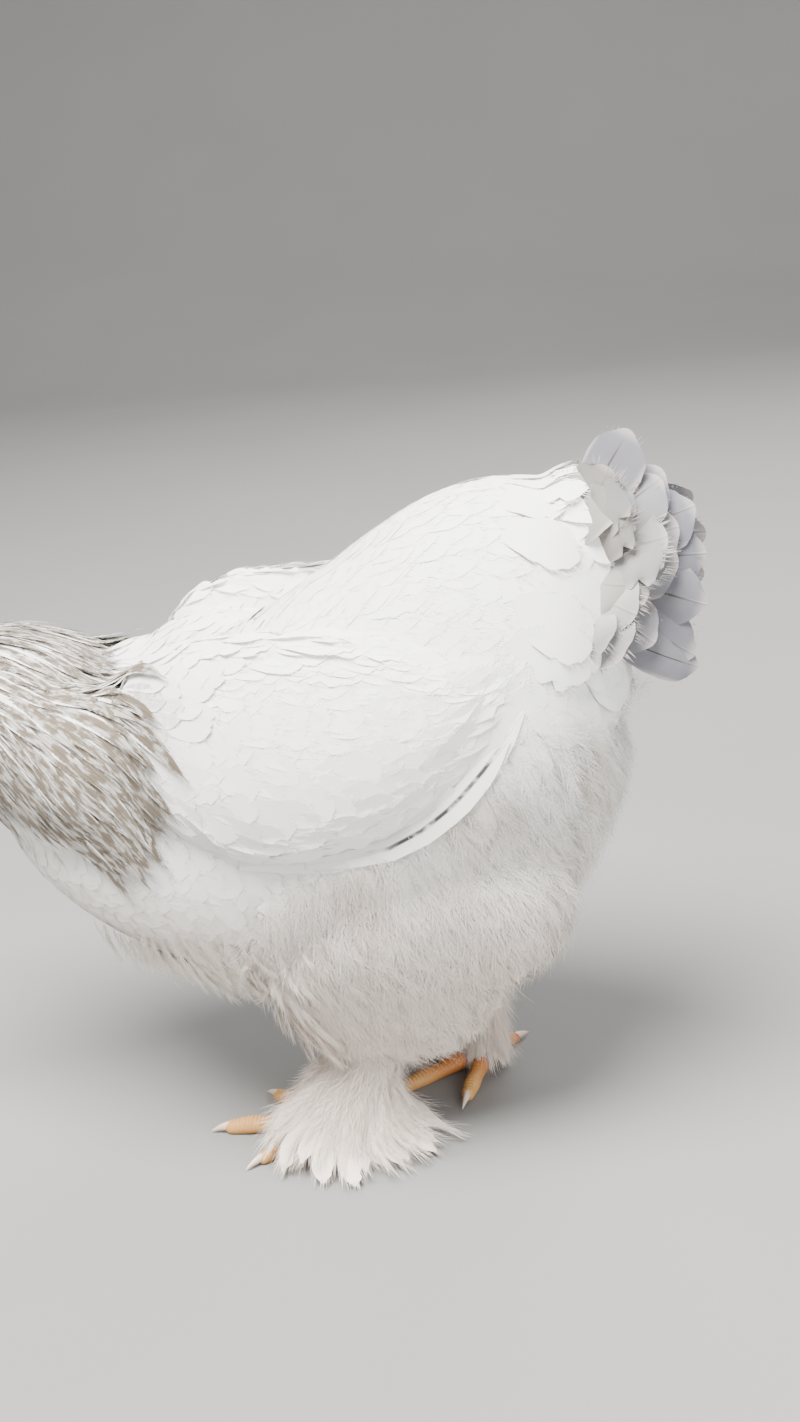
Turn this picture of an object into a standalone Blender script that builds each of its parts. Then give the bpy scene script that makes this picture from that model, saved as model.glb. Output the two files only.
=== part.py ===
# Light brahma hen, life size, standing with the neck stretched level and one foot ahead of the other.
# The hen faces -X, its left side is towards -Y and the floor is z = 0. Lengths are in metres.
import math

import bmesh
import bpy
import numpy as np
from mathutils import Vector
from mathutils.bvhtree import BVHTree

# Driving dimensions
GAP = 0.0003  # what neighbouring nodes keep between them
ORIGIN_X = -0.105  # middle of the bounding box, measured from a point below the hips
ORIGIN_Y = 0.000
CUT = GAP + 0.0001  # how much larger a cutter is, which keeps the gap at sharp edges too
VANE_THICK = 0.0006
SIDES = {"left": -1, "right": 1}
# Rings along each core, and points round a ring
TORSO_MESH = (22, 24)
NECK_MESH = (15, 18)
TAIL_MESH = (10, 14)
WING_MESH = (12, 16)
THIGH_MESH = (13, 18)
SKULL_MESH = (12, 16)

# Torso and saddle, from breast to rump: x, top, widest level, bottom, half width
TORSO = [
    (-0.266, 0.234, 0.234, 0.234, 0.000),
    (-0.258, 0.264, 0.228, 0.204, 0.028),
    (-0.241, 0.286, 0.222, 0.176, 0.049),
    (-0.208, 0.305, 0.215, 0.144, 0.073),
    (-0.160, 0.320, 0.213, 0.118, 0.093),
    (-0.100, 0.341, 0.218, 0.101, 0.104),
    (-0.040, 0.372, 0.227, 0.098, 0.107),
    (0.020, 0.408, 0.241, 0.109, 0.108),
    (0.065, 0.420, 0.260, 0.128, 0.103),
    (0.100, 0.412, 0.280, 0.160, 0.089),
    (0.124, 0.382, 0.290, 0.200, 0.063),
    (0.138, 0.335, 0.295, 0.250, 0.033),
    (0.142, 0.295, 0.295, 0.295, 0.000),
]
# Core of the neck under its hackle, from the nape to the shoulders: same columns
NECK = [
    (-0.345, 0.300, 0.300, 0.300, 0.000),
    (-0.341, 0.319, 0.302, 0.283, 0.014),
    (-0.325, 0.329, 0.301, 0.268, 0.024),
    (-0.300, 0.334, 0.298, 0.249, 0.034),
    (-0.270, 0.335, 0.289, 0.225, 0.049),
    (-0.235, 0.331, 0.278, 0.194, 0.070),
    (-0.210, 0.324, 0.270, 0.178, 0.084),
    (-0.192, 0.317, 0.270, 0.182, 0.088),
    (-0.180, 0.306, 0.276, 0.225, 0.062),
    (-0.175, 0.284, 0.284, 0.284, 0.000),
]
# Core of the folded wing: x, outward distance, mid height, half height, half thickness
WING = [
    (-0.168, 0.078, 0.292, 0.000, 0.000),
    (-0.150, 0.080, 0.291, 0.032, 0.009),
    (-0.118, 0.085, 0.289, 0.054, 0.016),
    (-0.080, 0.090, 0.289, 0.064, 0.022),
    (-0.040, 0.094, 0.292, 0.058, 0.021),
    (0.000, 0.092, 0.298, 0.044, 0.017),
    (0.032, 0.088, 0.306, 0.026, 0.011),
    (0.046, 0.085, 0.310, 0.000, 0.000),
]
# Core of the tail, where its feathers are rooted: x, top, widest level, bottom, half width
TAIL = [
    (0.088, 0.375, 0.375, 0.375, 0.000),
    (0.094, 0.408, 0.372, 0.340, 0.030),
    (0.112, 0.417, 0.370, 0.325, 0.042),
    (0.130, 0.413, 0.368, 0.322, 0.040),
    (0.144, 0.396, 0.366, 0.334, 0.028),
    (0.151, 0.366, 0.366, 0.366, 0.000),
]
WING_LEAN = math.radians(14)  # the top edge leans in over the back
# Feathered thigh, from hip to hock: z, x, outward distance, half length, half width
THIGH = [
    (0.262, 0.010, 0.060, 0.000, 0.000),
    (0.250, 0.010, 0.060, 0.045, 0.024),
    (0.215, 0.012, 0.064, 0.085, 0.040),
    (0.175, 0.010, 0.065, 0.100, 0.046),
    (0.140, 0.000, 0.062, 0.094, 0.048),
    (0.112, -0.014, 0.058, 0.076, 0.046),
    (0.090, -0.018, 0.054, 0.065, 0.043),
    (0.072, -0.023, 0.050, 0.054, 0.036),
    (0.058, -0.027, 0.048, 0.036, 0.026),
    (0.051, -0.028, 0.047, 0.020, 0.016),
    (0.049, -0.028, 0.047, 0.000, 0.000),
]
RIGHT_THIGH_BACK = 0.016  # the right leg stands this much further back


def smooth(keys, count, power=0.5):
    """The rows of keys joined by a centripetal Catmull-Rom curve and read at count even steps."""
    rows = np.array(keys, float)
    knots = np.concatenate([[0], np.cumsum(np.linalg.norm(np.diff(rows, axis=0), axis=1) ** power)])
    rows = np.vstack([2 * rows[0] - rows[1], rows, 2 * rows[-1] - rows[-2]])
    knots = np.concatenate([[2 * knots[0] - knots[1]], knots, [2 * knots[-1] - knots[-2]]])
    found = []
    for t in np.linspace(knots[1], knots[-2], count):
        i = int(np.clip(np.searchsorted(knots, t, side="right") - 1, 1, len(keys) - 1))
        t0, t1, t2, t3 = knots[i - 1 : i + 3]
        p0, p1, p2, p3 = rows[i - 1 : i + 3]
        a1 = (t1 - t) / (t1 - t0) * p0 + (t - t0) / (t1 - t0) * p1
        a2 = (t2 - t) / (t2 - t1) * p1 + (t - t1) / (t2 - t1) * p2
        a3 = (t3 - t) / (t3 - t2) * p2 + (t - t2) / (t3 - t2) * p3
        b1 = (t2 - t) / (t2 - t0) * a1 + (t - t0) / (t2 - t0) * a2
        b2 = (t3 - t) / (t3 - t1) * a2 + (t - t1) / (t3 - t1) * a3
        found.append((t2 - t) / (t2 - t1) * b1 + (t - t1) / (t2 - t1) * b2)
    return np.array(found)


def material(name, colour, roughness):
    made = bpy.data.materials.new(name)
    made.use_nodes = True
    shader = made.node_tree.nodes["Principled BSDF"]
    shader.inputs["Base Color"].default_value = (*colour, 1)
    shader.inputs["Roughness"].default_value = roughness
    shader.inputs["Metallic"].default_value = 0
    return made


def add_object(name, points, faces, finish=None):
    mesh = bpy.data.meshes.new(name)
    mesh.from_pydata([tuple(p) for p in points], [], faces)
    mesh.update()
    made = bpy.data.objects.new(name, mesh)
    bpy.context.scene.collection.objects.link(made)
    if finish:
        mesh.materials.append(finish)
    return made


def ring_faces(rings, sides, first, last):
    """Quads between rings of points, closed at both ends by a fan to the points first and last."""
    faces = []
    for i in range(rings - 1):
        for j in range(sides):
            k = (j + 1) % sides
            faces.append((i * sides + j, i * sides + k, (i + 1) * sides + k, (i + 1) * sides + j))
    for j in range(sides):
        k = (j + 1) % sides
        faces.append((k, j, first))
        faces.append(((rings - 1) * sides + j, (rings - 1) * sides + k, last))
    return faces


def closed_loft(name, rings, finish=None):
    """A closed body through rings of points, whose first and last rings are single points."""
    rings = np.asarray(rings, float)
    count, sides = len(rings) - 2, rings.shape[1]
    points = [*rings[1:-1].reshape(-1, 3), rings[0].mean(axis=0), rings[-1].mean(axis=0)]
    made = add_object(name, points, ring_faces(count, sides, count * sides, count * sides + 1), finish)
    face_out(made)
    return made


def face_out(obj):
    work = bmesh.new()
    work.from_mesh(obj.data)
    bmesh.ops.recalc_face_normals(work, faces=work.faces)
    work.to_mesh(obj.data)
    work.free()


def egg_rings(keys, count, sides, fullness=0.92):
    """Rings across X from rows of x, top, widest level, bottom and half width."""
    around = np.linspace(0, 2 * math.pi, sides, endpoint=False)
    across = np.sign(np.cos(around)) * np.abs(np.cos(around)) ** fullness
    rise = np.sign(np.sin(around)) * np.abs(np.sin(around)) ** fullness
    rings = []
    for x, top, widest, bottom, half in smooth(keys, count):
        z = widest + np.where(rise > 0, (top - widest) * rise, (widest - bottom) * rise)
        rings.append(np.stack([np.full(sides, x), half * across, z], axis=1))
    return rings


def wing_rings(side, count, sides):
    around = np.linspace(0, 2 * math.pi, sides, endpoint=False)
    rings = []
    for x, out, level, half_height, half_thick in smooth(WING, count):
        y = half_thick * np.cos(around)
        z = half_height * np.sin(around)
        turned_y = y * math.cos(WING_LEAN) - z * math.sin(WING_LEAN)
        turned_z = z * math.cos(WING_LEAN) + y * math.sin(WING_LEAN)
        rings.append(np.stack([np.full(sides, x), side * (out + turned_y), level + turned_z], axis=1))
    return rings


def thigh_rings(side, back, count, sides):
    around = np.linspace(0, 2 * math.pi, sides, endpoint=False)
    rings = []
    for z, x, out, half_length, half_width in smooth(THIGH, count):
        shift = back * np.clip((THIGH[1][0] - z) / (THIGH[1][0] - THIGH[-1][0]), 0, 1)
        rings.append(
            np.stack(
                [
                    x + shift + half_length * np.cos(around),
                    side * (out + half_width * np.sin(around)),
                    np.full(sides, z),
                ],
                axis=1,
            )
        )
    return rings


def tube_rings(path, radii, sides, flat=1.0):
    """Rings round a path; flat under 1 narrows them sideways."""
    path = np.asarray(path, float)
    steps = np.gradient(path, axis=0)
    side = np.cross(steps[0], (0, 0, 1))
    rings = []
    for point, step, radius in zip(path, steps, radii):
        forward = step / np.linalg.norm(step)
        side = side - forward * (side @ forward)
        side = side / np.linalg.norm(side)
        up = np.cross(side, forward)
        around = np.linspace(0, 2 * math.pi, sides, endpoint=False)[:, None]
        rings.append(point + radius * (np.cos(around) * side * flat + np.sin(around) * up))
    return rings


def ball(name, centre, radii, count=8, sides=12, finish=None, turn=0.0):
    """An ellipsoid, turned about Y."""
    rings = []
    for lat in np.linspace(-math.pi / 2, math.pi / 2, count):
        around = np.linspace(0, 2 * math.pi, sides, endpoint=False)
        x = math.cos(lat) * np.cos(around) * radii[0]
        y = math.cos(lat) * np.sin(around) * radii[1]
        z = np.full(sides, math.sin(lat) * radii[2])
        rings.append(
            np.stack(
                [
                    centre[0] + x * math.cos(turn) + z * math.sin(turn),
                    centre[1] + y,
                    centre[2] - x * math.sin(turn) + z * math.cos(turn),
                ],
                axis=1,
            )
        )
    return closed_loft(name, rings, finish)


def grown(obj, by):
    """A hidden copy of a node, larger all round, to cut its neighbour with."""
    copy = bpy.data.objects.new(obj.name + "_room", obj.data.copy())
    bpy.context.scene.collection.objects.link(copy)
    copy.hide_render = True
    copy.display_type = "WIRE"
    normals = np.array([v.normal[:] for v in copy.data.vertices])
    points = np.array([v.co[:] for v in copy.data.vertices]) + normals * by
    copy.data.vertices.foreach_set("co", points.ravel())
    copy.data.update()
    return copy


def combine(target, others, operation, solver="EXACT"):
    """One Boolean between a body and a collection of others, applied; the others are then removed."""
    group = bpy.data.collections.new(target.name + "_group")
    for other in others:
        group.objects.link(other)
    modifier = target.modifiers.new("join", "BOOLEAN")
    modifier.operation = operation
    modifier.operand_type = "COLLECTION"
    modifier.collection = group
    modifier.solver = solver
    bpy.context.view_layer.update()
    made = bpy.data.meshes.new_from_object(target.evaluated_get(bpy.context.evaluated_depsgraph_get()))
    target.modifiers.clear()
    target.data = made
    for other in others:
        bpy.data.objects.remove(other)
    bpy.data.collections.remove(group)


def keep_largest(obj):
    """Drops every closed surface of the node but the largest."""
    work = bmesh.new()
    work.from_mesh(obj.data)
    left = set(work.faces)
    groups = []
    while left:
        found, todo = set(), [left.pop()]
        while todo:
            face = todo.pop()
            found.add(face)
            for edge in face.edges:
                for other in edge.link_faces if len(edge.link_faces) == 2 else ():
                    if other in left:
                        left.remove(other)
                        todo.append(other)
        groups.append(found)
    groups.sort(key=lambda group: sum(face.calc_area() for face in group), reverse=True)
    dropped = [face for group in groups[1:] for face in group]
    bmesh.ops.delete(work, geom=dropped, context="FACES")
    bmesh.ops.triangulate(work, faces=work.faces)
    work.to_mesh(obj.data)
    work.free()


def make_room(obj, neighbours, by=CUT):
    """Cuts the node clear of its neighbours by the gap."""
    for neighbour in neighbours:
        combine(obj, [grown(neighbour, by)], "DIFFERENCE", "MANIFOLD")
    keep_largest(obj)


# Head: everything on it is measured from the middle of the skull, forward, outward and up
HEAD_AT = np.array([-0.366, 0.0, 0.301])
HEAD_DIP = math.radians(12)  # the bill points this far below level
SKULL = [
    (-0.034, 0.002, 0.002, 0.002, 0.000),
    (-0.030, 0.011, 0.001, -0.009, 0.009),
    (-0.018, 0.018, 0.000, -0.017, 0.0145),
    (-0.004, 0.0200, 0.000, -0.0195, 0.0165),
    (0.009, 0.0180, -0.001, -0.0175, 0.0145),
    (0.018, 0.0135, -0.002, -0.0140, 0.0105),
    (0.025, 0.0080, -0.003, -0.0100, 0.0065),
    (0.028, -0.002, -0.002, -0.002, 0.000),
]
EYE_AT = (0.003, 0.0125, 0.0045)
EYE_RADIUS = 0.0058
LID_OUT = 0.0030  # how far outside the eye's middle the rim of the lids lies
LID_RADIUS = 0.0011
BILL_TOP = [(0.012, 0.004), (0.022, 0.0035), (0.031, 0.0005), (0.038, -0.0045), (0.0425, -0.0105)]
BILL_TOP_RADII = [0.0062, 0.0068, 0.0056, 0.0036, 0.0008]
BILL_LOW = [(0.010, -0.0075), (0.019, -0.0080), (0.028, -0.0085), (0.034, -0.0095)]
BILL_LOW_RADII = [0.0040, 0.0046, 0.0034, 0.0008]
BILL_SIDES = 12
NOSTRIL_AT = (0.0285, 0.0048, 0.0040)
NOSTRIL_RADII = (0.0022, 0.0014, 0.0011)
COMB_AT = (0.008, 0.0, 0.0165)
COMB_RADII = (0.0165, 0.0055, 0.0050)
COMB_TURN = -HEAD_DIP - 0.16
COMB_ROWS = [  # side, knobs, how far back the first one is set, extra height, radius
    (-1, 4, 0.0032, 0.0, 0.0031),
    (0, 5, 0.0, 0.0022, 0.0040),
    (1, 4, 0.0032, 0.0, 0.0031),
]
KNOB_START = 0.0215
KNOB_STEP = 0.0068
KNOB_ASIDE = 0.0046
KNOB_HEIGHT = 0.0185
COMB_ARCH = 0.0028  # how much higher the middle of a row is
COMB_SLOPE = 0.42  # how steeply the front of the comb falls
WATTLE_AT = (0.010, 0.0068, -0.0235)
WATTLE_RADII = (0.0072, 0.0026, 0.0115)
EARLOBE_AT = (-0.0125, 0.0150, -0.0085)
EARLOBE_RADII = (0.0052, 0.0024, 0.0090)


def on_head(forward, outward, up):
    """World place of a point of the head; outward is towards -Y for a negative value."""
    c, s = math.cos(HEAD_DIP), math.sin(HEAD_DIP)
    forward, outward, up = np.broadcast_arrays(forward, outward, up)
    return np.stack(
        [
            HEAD_AT[0] - forward * c - up * s,
            HEAD_AT[1] + outward,
            HEAD_AT[2] - forward * s + up * c,
        ],
        axis=-1,
    )


def in_head(rings):
    return [on_head(r[:, 0], r[:, 1], r[:, 2]) for r in np.asarray(rings)]


def bill(name, line, radii, finish, narrow):
    path = [(u, 0.0, w) for u, w in smooth(line, 8)]
    sizes = smooth([(i, r) for i, r in enumerate(radii)], 8)[:, 1]
    rings = tube_rings(path, sizes, BILL_SIDES, flat=narrow)
    first = [np.repeat(rings[0].mean(axis=0)[None], BILL_SIDES, axis=0)]
    last = [np.repeat(rings[-1].mean(axis=0)[None], BILL_SIDES, axis=0)]
    return closed_loft(name, in_head(first + rings + last), finish)


def make_head(finishes):
    head = closed_loft("head", in_head(egg_rings(SKULL, *SKULL_MESH, 1.0)), finishes["skin"])
    upper = bill("bill_upper", BILL_TOP, BILL_TOP_RADII, finishes["bill"], 0.92)
    lower = bill("bill_lower", BILL_LOW, BILL_LOW_RADII, finishes["bill"], 0.95)
    make_room(lower, [upper])
    nostrils = []
    for side in SIDES.values():
        u, v, w = NOSTRIL_AT
        nostrils.append(ball("nostril", on_head(u, v * side, w), NOSTRIL_RADII, 6, 8))
    combine(upper, nostrils, "DIFFERENCE", "MANIFOLD")
    eyes = {}
    lids = []
    for name, side in SIDES.items():
        centre = on_head(EYE_AT[0], side * EYE_AT[1], EYE_AT[2])
        eyes[name] = ball("eye_" + name, centre, (EYE_RADIUS,) * 3, 8, 12, finishes["eye"])
        lids.append(eyelid(side))
    combine(head, lids, "UNION", "MANIFOLD")
    make_room(head, [upper, lower, *eyes.values()])
    return head


def eyelid(side):
    """The raised rim of the lids round one eye."""
    turns, sides = 14, 4
    points, faces = [], []
    for i in range(turns):
        a = 2 * math.pi * i / turns
        for j in range(sides):
            b = 2 * math.pi * j / sides
            reach = EYE_RADIUS * 0.93 + LID_RADIUS * math.cos(b)
            points.append(
                on_head(
                    EYE_AT[0] + reach * math.cos(a) * 1.08,
                    side * (EYE_AT[1] + LID_OUT + LID_RADIUS * math.sin(b)),
                    EYE_AT[2] + reach * math.sin(a) * 0.92,
                )
            )
            k, m = (i + 1) % turns, (j + 1) % sides
            faces.append((i * sides + j, k * sides + j, k * sides + m, i * sides + m))
    made = add_object("lid", points, faces)
    face_out(made)
    return made


def make_comb(head, finish):
    """Pea comb: three low rows of knobs on one base."""
    base = ball("comb", on_head(*COMB_AT), COMB_RADII, 8, 12, finish, turn=COMB_TURN)
    knobs = []
    for row, count, back, raised, size in COMB_ROWS:
        for i in range(count):
            u = KNOB_START - KNOB_STEP * i - back
            rise = KNOB_HEIGHT + raised + COMB_ARCH * math.sin(math.pi * (i + 0.7) / count)
            rise -= max(0.0, u - COMB_AT[0]) * COMB_SLOPE
            place = on_head(u, row * KNOB_ASIDE, rise)
            knobs.append(ball("knob", place, (size, size * 0.85, size * 1.35), 5, 6))
    combine(base, knobs, "UNION", "MANIFOLD")
    make_room(base, [head])


def make_wattles(head, finish):
    """A wattle below the bill and an earlobe behind the cheek on each side."""
    for name, side in SIDES.items():
        for kind, (u, v, w), radii, turn in (
            ("wattle_", WATTLE_AT, WATTLE_RADII, 0.15),
            ("earlobe_", EARLOBE_AT, EARLOBE_RADII, 0.10),
        ):
            piece = ball(kind + name, on_head(u, side * v, w), radii, 9, 12, finish, turn)
            make_room(piece, [head])


# Feet: each toe is an angle from the foot's own direction, a length, a base radius and a tip radius
TOES = {
    "inner": (-42, 0.052, 0.0066, 0.0052),
    "middle": (0, 0.066, 0.0072, 0.0054),
    "outer": (42, 0.053, 0.0064, 0.0050),
    "hind": (168, 0.026, 0.0058, 0.0046),
}
CLAW_LENGTH = 0.0145
CLAW_TIP_HEIGHT = 0.0004
FEET = {  # where the toes meet, and the way the middle toe points from +X
    "left": ((-0.068, -0.047), math.radians(182)),
    "right": ((0.032, 0.033), math.radians(216)),
}
ANKLE_HEIGHT = 0.016
SHANK_TOP = {"left": (-0.022, -0.050, 0.085), "right": (0.030, 0.048, 0.085)}
TOE_SIDES = 7
FOOT_HEIGHT = 0.009  # of the middle of the ball where the toes meet
FOOT_RADII = (0.0125, 0.0115, 0.0105)


def toe_line(name, foot, count=6):
    """Centre line and radii of one toe, and its direction on the floor."""
    (x, y), heading = FEET[foot]
    turn, length, base, tip = TOES[name]
    angle = heading + SIDES[foot] * -math.radians(turn)
    way = np.array([math.cos(angle), math.sin(angle), 0])
    start_height = 0.0125 if name == "hind" else 0.0085
    path, radii = [], []
    for i in range(count):
        t = i / (count - 1)
        radius = (base + (tip - base) * t) * (1 + 0.07 * math.cos(t * math.pi * 5))
        height = start_height * (1 - t) ** 2 + radius * 0.78 * (1 - (1 - t) ** 2)
        path.append(np.array([x, y, height]) + way * length * t)
        radii.append(radius)
    return path, radii, way


def round_ended(path, radii, sides):
    """Rings of a tube whose ends are rounded off to points."""
    path, radii = list(path), list(radii)
    start = (path[0] - path[1]) / np.linalg.norm(path[0] - path[1])
    end = (path[-1] - path[-2]) / np.linalg.norm(path[-1] - path[-2])
    path = [path[0] + start * radii[0] * 0.6, *path, path[-1] + end * radii[-1] * 0.6]
    radii = [radii[0] * 0.6, *radii, radii[-1] * 0.6]
    rings = tube_rings(path, radii, sides)
    first = np.repeat((path[0] + start * radii[0] * 0.5)[None], sides, axis=0)
    last = np.repeat((path[-1] + end * radii[-1] * 0.5)[None], sides, axis=0)
    return [first, *rings, last]


def make_foot(name, finishes):
    (x, y), _ = FEET[name]
    toes = []
    claws = []
    for toe in TOES:
        path, radii, way = toe_line(toe, name)
        toes.append(closed_loft("toe", round_ended(path, radii, TOE_SIDES)))
        claws.append(claw(f"claw_{name}_{toe}", path[-1], radii[-1], way, finishes["claw"]))
    foot = ball("foot_" + name, (x, y, FOOT_HEIGHT), FOOT_RADII, 8, 12, finishes["toe"])
    combine(foot, toes, "UNION", "MANIFOLD")
    floor = add_box("floor", (-0.5, -0.5, -0.1), (0.5, 0.5, 0.0))
    combine(foot, [floor], "DIFFERENCE", "MANIFOLD")
    keep_largest(foot)
    make_room(foot, claws)
    return [foot, *claws]


def add_box(name, low, high):
    corners = [(x, y, z) for x in (low[0], high[0]) for y in (low[1], high[1]) for z in (low[2], high[2])]
    faces = [(0, 1, 3, 2), (4, 6, 7, 5), (0, 4, 5, 1), (2, 3, 7, 6), (0, 2, 6, 4), (1, 5, 7, 3)]
    made = add_object(name, corners, faces)
    face_out(made)
    made.hide_render = True
    return made


def claw(name, root, radius, way, finish):
    """A curved, tapering claw that starts inside the end of its toe."""
    path, radii = [], []
    for t in np.linspace(0, 1, 6):
        drop = (root[2] - CLAW_TIP_HEIGHT) * t**2
        path.append(root + way * (CLAW_LENGTH * t - 0.0005) + np.array([0, 0, 0.0012 - drop]))
        radii.append(radius * (0.62 * (1 - t**1.4) + 0.10))
    rings = tube_rings(path, radii, TOE_SIDES, flat=0.8)
    first = np.repeat(path[0][None], TOE_SIDES, axis=0)
    last = np.repeat(path[-1][None], TOE_SIDES, axis=0)
    return closed_loft(name, [first, *rings, last], finish)


# Feather outlines: how far along, and the share of the full width there
HACKLE_SHAPE = [(0.0, 0.40), (0.22, 0.80), (0.50, 1.00), (0.78, 0.80), (1.0, 0.22)]
BROAD_SHAPE = [(0.0, 0.45), (0.25, 0.85), (0.55, 1.00), (0.82, 0.95), (0.95, 0.68), (1.0, 0.30)]
LOCK_SHAPE = [(0.0, 0.60), (0.35, 1.00), (0.70, 0.78), (1.0, 0.20)]
SHANK_SHAPE = [(0.0, 0.30), (0.30, 0.75), (0.68, 1.00), (1.0, 0.25)]
ROOT_DEPTH = 0.0035  # how far a feather's root is sunk into what it grows from


def vane(line, shape, width, lift, outward, settle=None, camber=0.0, roll=0.0):
    """A feather's blade along a line of guessed points, one for each row of its shape.

    Both faces are split into triangles alike. The function settle moves a guessed point to the
    surface below it. The lift is the height over that surface, except at the sunken root. A camber
    raises the middle of the blade, and a roll raises one of its edges.
    """
    line, outward = np.asarray(line, float), np.asarray(outward, float)
    along = np.gradient(line, axis=0)
    across = np.cross(outward, along)
    across /= np.linalg.norm(across, axis=1)[:, None]
    columns = (-1, 0, 1) if camber else (-1, 1)
    top, bottom = [], []
    for i, (_, share) in enumerate(shape):
        thick = VANE_THICK if i < len(shape) - 1 else VANE_THICK * 0.6
        height = -ROOT_DEPTH if i == 0 else np.broadcast_to(lift, len(shape))[i]
        for c in columns:
            point = line[i] + across[i] * c * width * share / 2
            if settle:
                point = settle(point, outward[i])
            bow = 0.0 if i == 0 else camber * (1 - abs(c)) + roll * c
            point = point + outward[i] * (height + bow)
            top.append(point + outward[i] * thick / 2)
            bottom.append(point - outward[i] * thick / 2)
    rows, m = len(shape), len(columns)
    under = rows * m
    faces = []
    for i in range(rows - 1):
        for c in range(m - 1):
            a, b = i * m + c, (i + 1) * m + c
            for low in (0, under):
                faces.append((low + a, low + a + 1, low + b + 1))
                faces.append((low + a, low + b + 1, low + b))
        for a in (i * m, i * m + m - 1):
            faces.append((a, a + m, under + a + m, under + a))
    for a in (0, (rows - 1) * m):
        for c in range(m - 1):
            faces.append((a + c, a + c + 1, under + a + c + 1, under + a + c))
    made = add_object("vane", top + bottom, faces)
    face_out(made)
    return made


def surface_of(objects):
    """The surfaces of several nodes, to lay feathers on."""
    points, faces = [], []
    for obj in objects:
        start = len(points)
        points += [v.co[:] for v in obj.data.vertices]
        faces += [[start + i for i in p.vertices] for p in obj.data.polygons]
    return BVHTree.FromPolygons(points, faces)


def laid_on(surface, reach=0.15):
    """A settle function that moves a point along its outward direction to the outermost surface."""

    def settle(point, outward):
        start = Vector(point + outward * reach)
        hit = surface.ray_cast(start, Vector(-outward), 2 * reach)[0]
        return np.array(hit) if hit else point

    return settle


def kept_above(surface, clear):
    """A settle function that raises a point over what lies below it, and over the floor."""

    def settle(point, outward):
        hit = surface.ray_cast(Vector((point[0], point[1], 0.2)), Vector((0, 0, -1)), 0.3)[0]
        lowest = (hit[2] if hit else 0.0) + clear
        return np.array([point[0], point[1], max(point[2], lowest)])

    return settle


def bend(start, middle, end, shape):
    """Points of a quadratic curve at the rows of a feather's shape."""
    start, middle, end = (np.asarray(p, float) for p in (start, middle, end))
    return [(1 - t) ** 2 * start + 2 * t * (1 - t) * middle + t**2 * end for t, _ in shape]


def fuse(core, vanes):
    """One union of a node's core and its feathers, of which only the largest closed surface is kept."""
    combine(core, vanes, "UNION", "MANIFOLD")
    keep_largest(core)


SHINGLE = 0.0014  # how far one edge of a flight feather is raised and the other lowered
LAID_LIFT = 0.0036  # least height of a blade's middle over what it lies on
TIER_LIFT = 0.0040  # what each further tier below adds
# Hackle and cape, from the nape down: root x, vanes, length, width, lowest angle round the neck
HACKLE = [
    (-0.334, 7, 0.052, 0.015, -90),
    (-0.302, 8, 0.074, 0.020, -90),
    (-0.264, 11, 0.092, 0.026, -60),
    (-0.225, 13, 0.112, 0.030, -40),
]
HACKLE_AXIS = ((-0.340, 0.300), (-0.100, 0.264))  # x and z of the line that the angles turn about
HACKLE_SAG = 12  # degrees by which a side feather sinks from root to tip


def add_hackle(neck, neighbours):
    """Tapered feathers in tiers from the nape to the shoulders, each tier over the next."""
    settle = laid_on(surface_of([neck, *neighbours]))
    (x0, z0), (x1, z1) = HACKLE_AXIS
    vanes = []
    for tier, (root, count, length, width, lowest) in enumerate(HACKLE):
        closed = lowest == -90
        for angle in np.linspace(lowest, 180 - lowest, count, endpoint=not closed):
            reach = length * (0.86 + 0.26 * math.sin(math.radians(angle)))
            line, outward, lifts = [], [], []
            for t, _ in HACKLE_SHAPE:
                x = root + reach * t
                below = sum(np.clip((x - other[0]) / 0.012 + 0.5, 0, 1) for other in HACKLE[tier + 1 :])
                lifts.append(LAID_LIFT + TIER_LIFT * below)
                turn = math.radians(angle - HACKLE_SAG * t * math.cos(math.radians(angle)))
                out = np.array([0, math.cos(turn), math.sin(turn)])
                middle = np.array([x, 0, z0 + (z1 - z0) * (x - x0) / (x1 - x0)])
                line.append(settle(middle + out * 0.1, out))
                outward.append(out)
            vanes.append(vane(line, HACKLE_SHAPE, width, lifts, outward, settle, roll=0.0009))
    fuse(neck, vanes)
    for by in (CUT, CUT / 4):
        make_room(neck, neighbours, by)


# Folded wing: root and tip of the first and last feather of each tier, as x and z
SECONDARIES = ((-0.020, 0.336), (0.085, 0.314), (-0.110, 0.262), (-0.012, 0.230), 5, 0.033, 0.0074)
PRIMARIES = ((-0.085, 0.262), (0.056, 0.250), (-0.116, 0.252), (0.002, 0.226), 2, 0.024, 0.0036)
COVERTS = ((-0.062, 0.342), (0.012, 0.332), (-0.132, 0.272), (-0.070, 0.244), 4, 0.034, 0.0112)


def add_wing_feathers(wing, side, neighbours):
    """Primaries under secondaries under coverts, each feather over the next lower one."""
    settle = laid_on(surface_of([wing, *neighbours]))
    out = np.array([0, side * math.cos(WING_LEAN), math.sin(WING_LEAN)])
    vanes = []
    for root_a, tip_a, root_b, tip_b, count, width, lift in (PRIMARIES, SECONDARIES, COVERTS):
        for i in range(count):
            t = i / (count - 1)
            root = np.array([root_a, root_b]).T @ (1 - t, t)
            tip = np.array([tip_a, tip_b]).T @ (1 - t, t)
            tip = tip + np.array([0.013, -0.016]) * 4 * t * (1 - t)
            middle = (root + tip) / 2 + np.array([0.0, -0.006])
            points = bend(root, middle, tip, BROAD_SHAPE)
            line = [settle(np.array([x, side * 0.1, z]), out) for x, z in points]
            vanes.append(vane(line, BROAD_SHAPE, width, lift, [out] * len(line), settle, roll=side * SHINGLE))
    fuse(wing, vanes)
    make_room(wing, neighbours)


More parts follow.
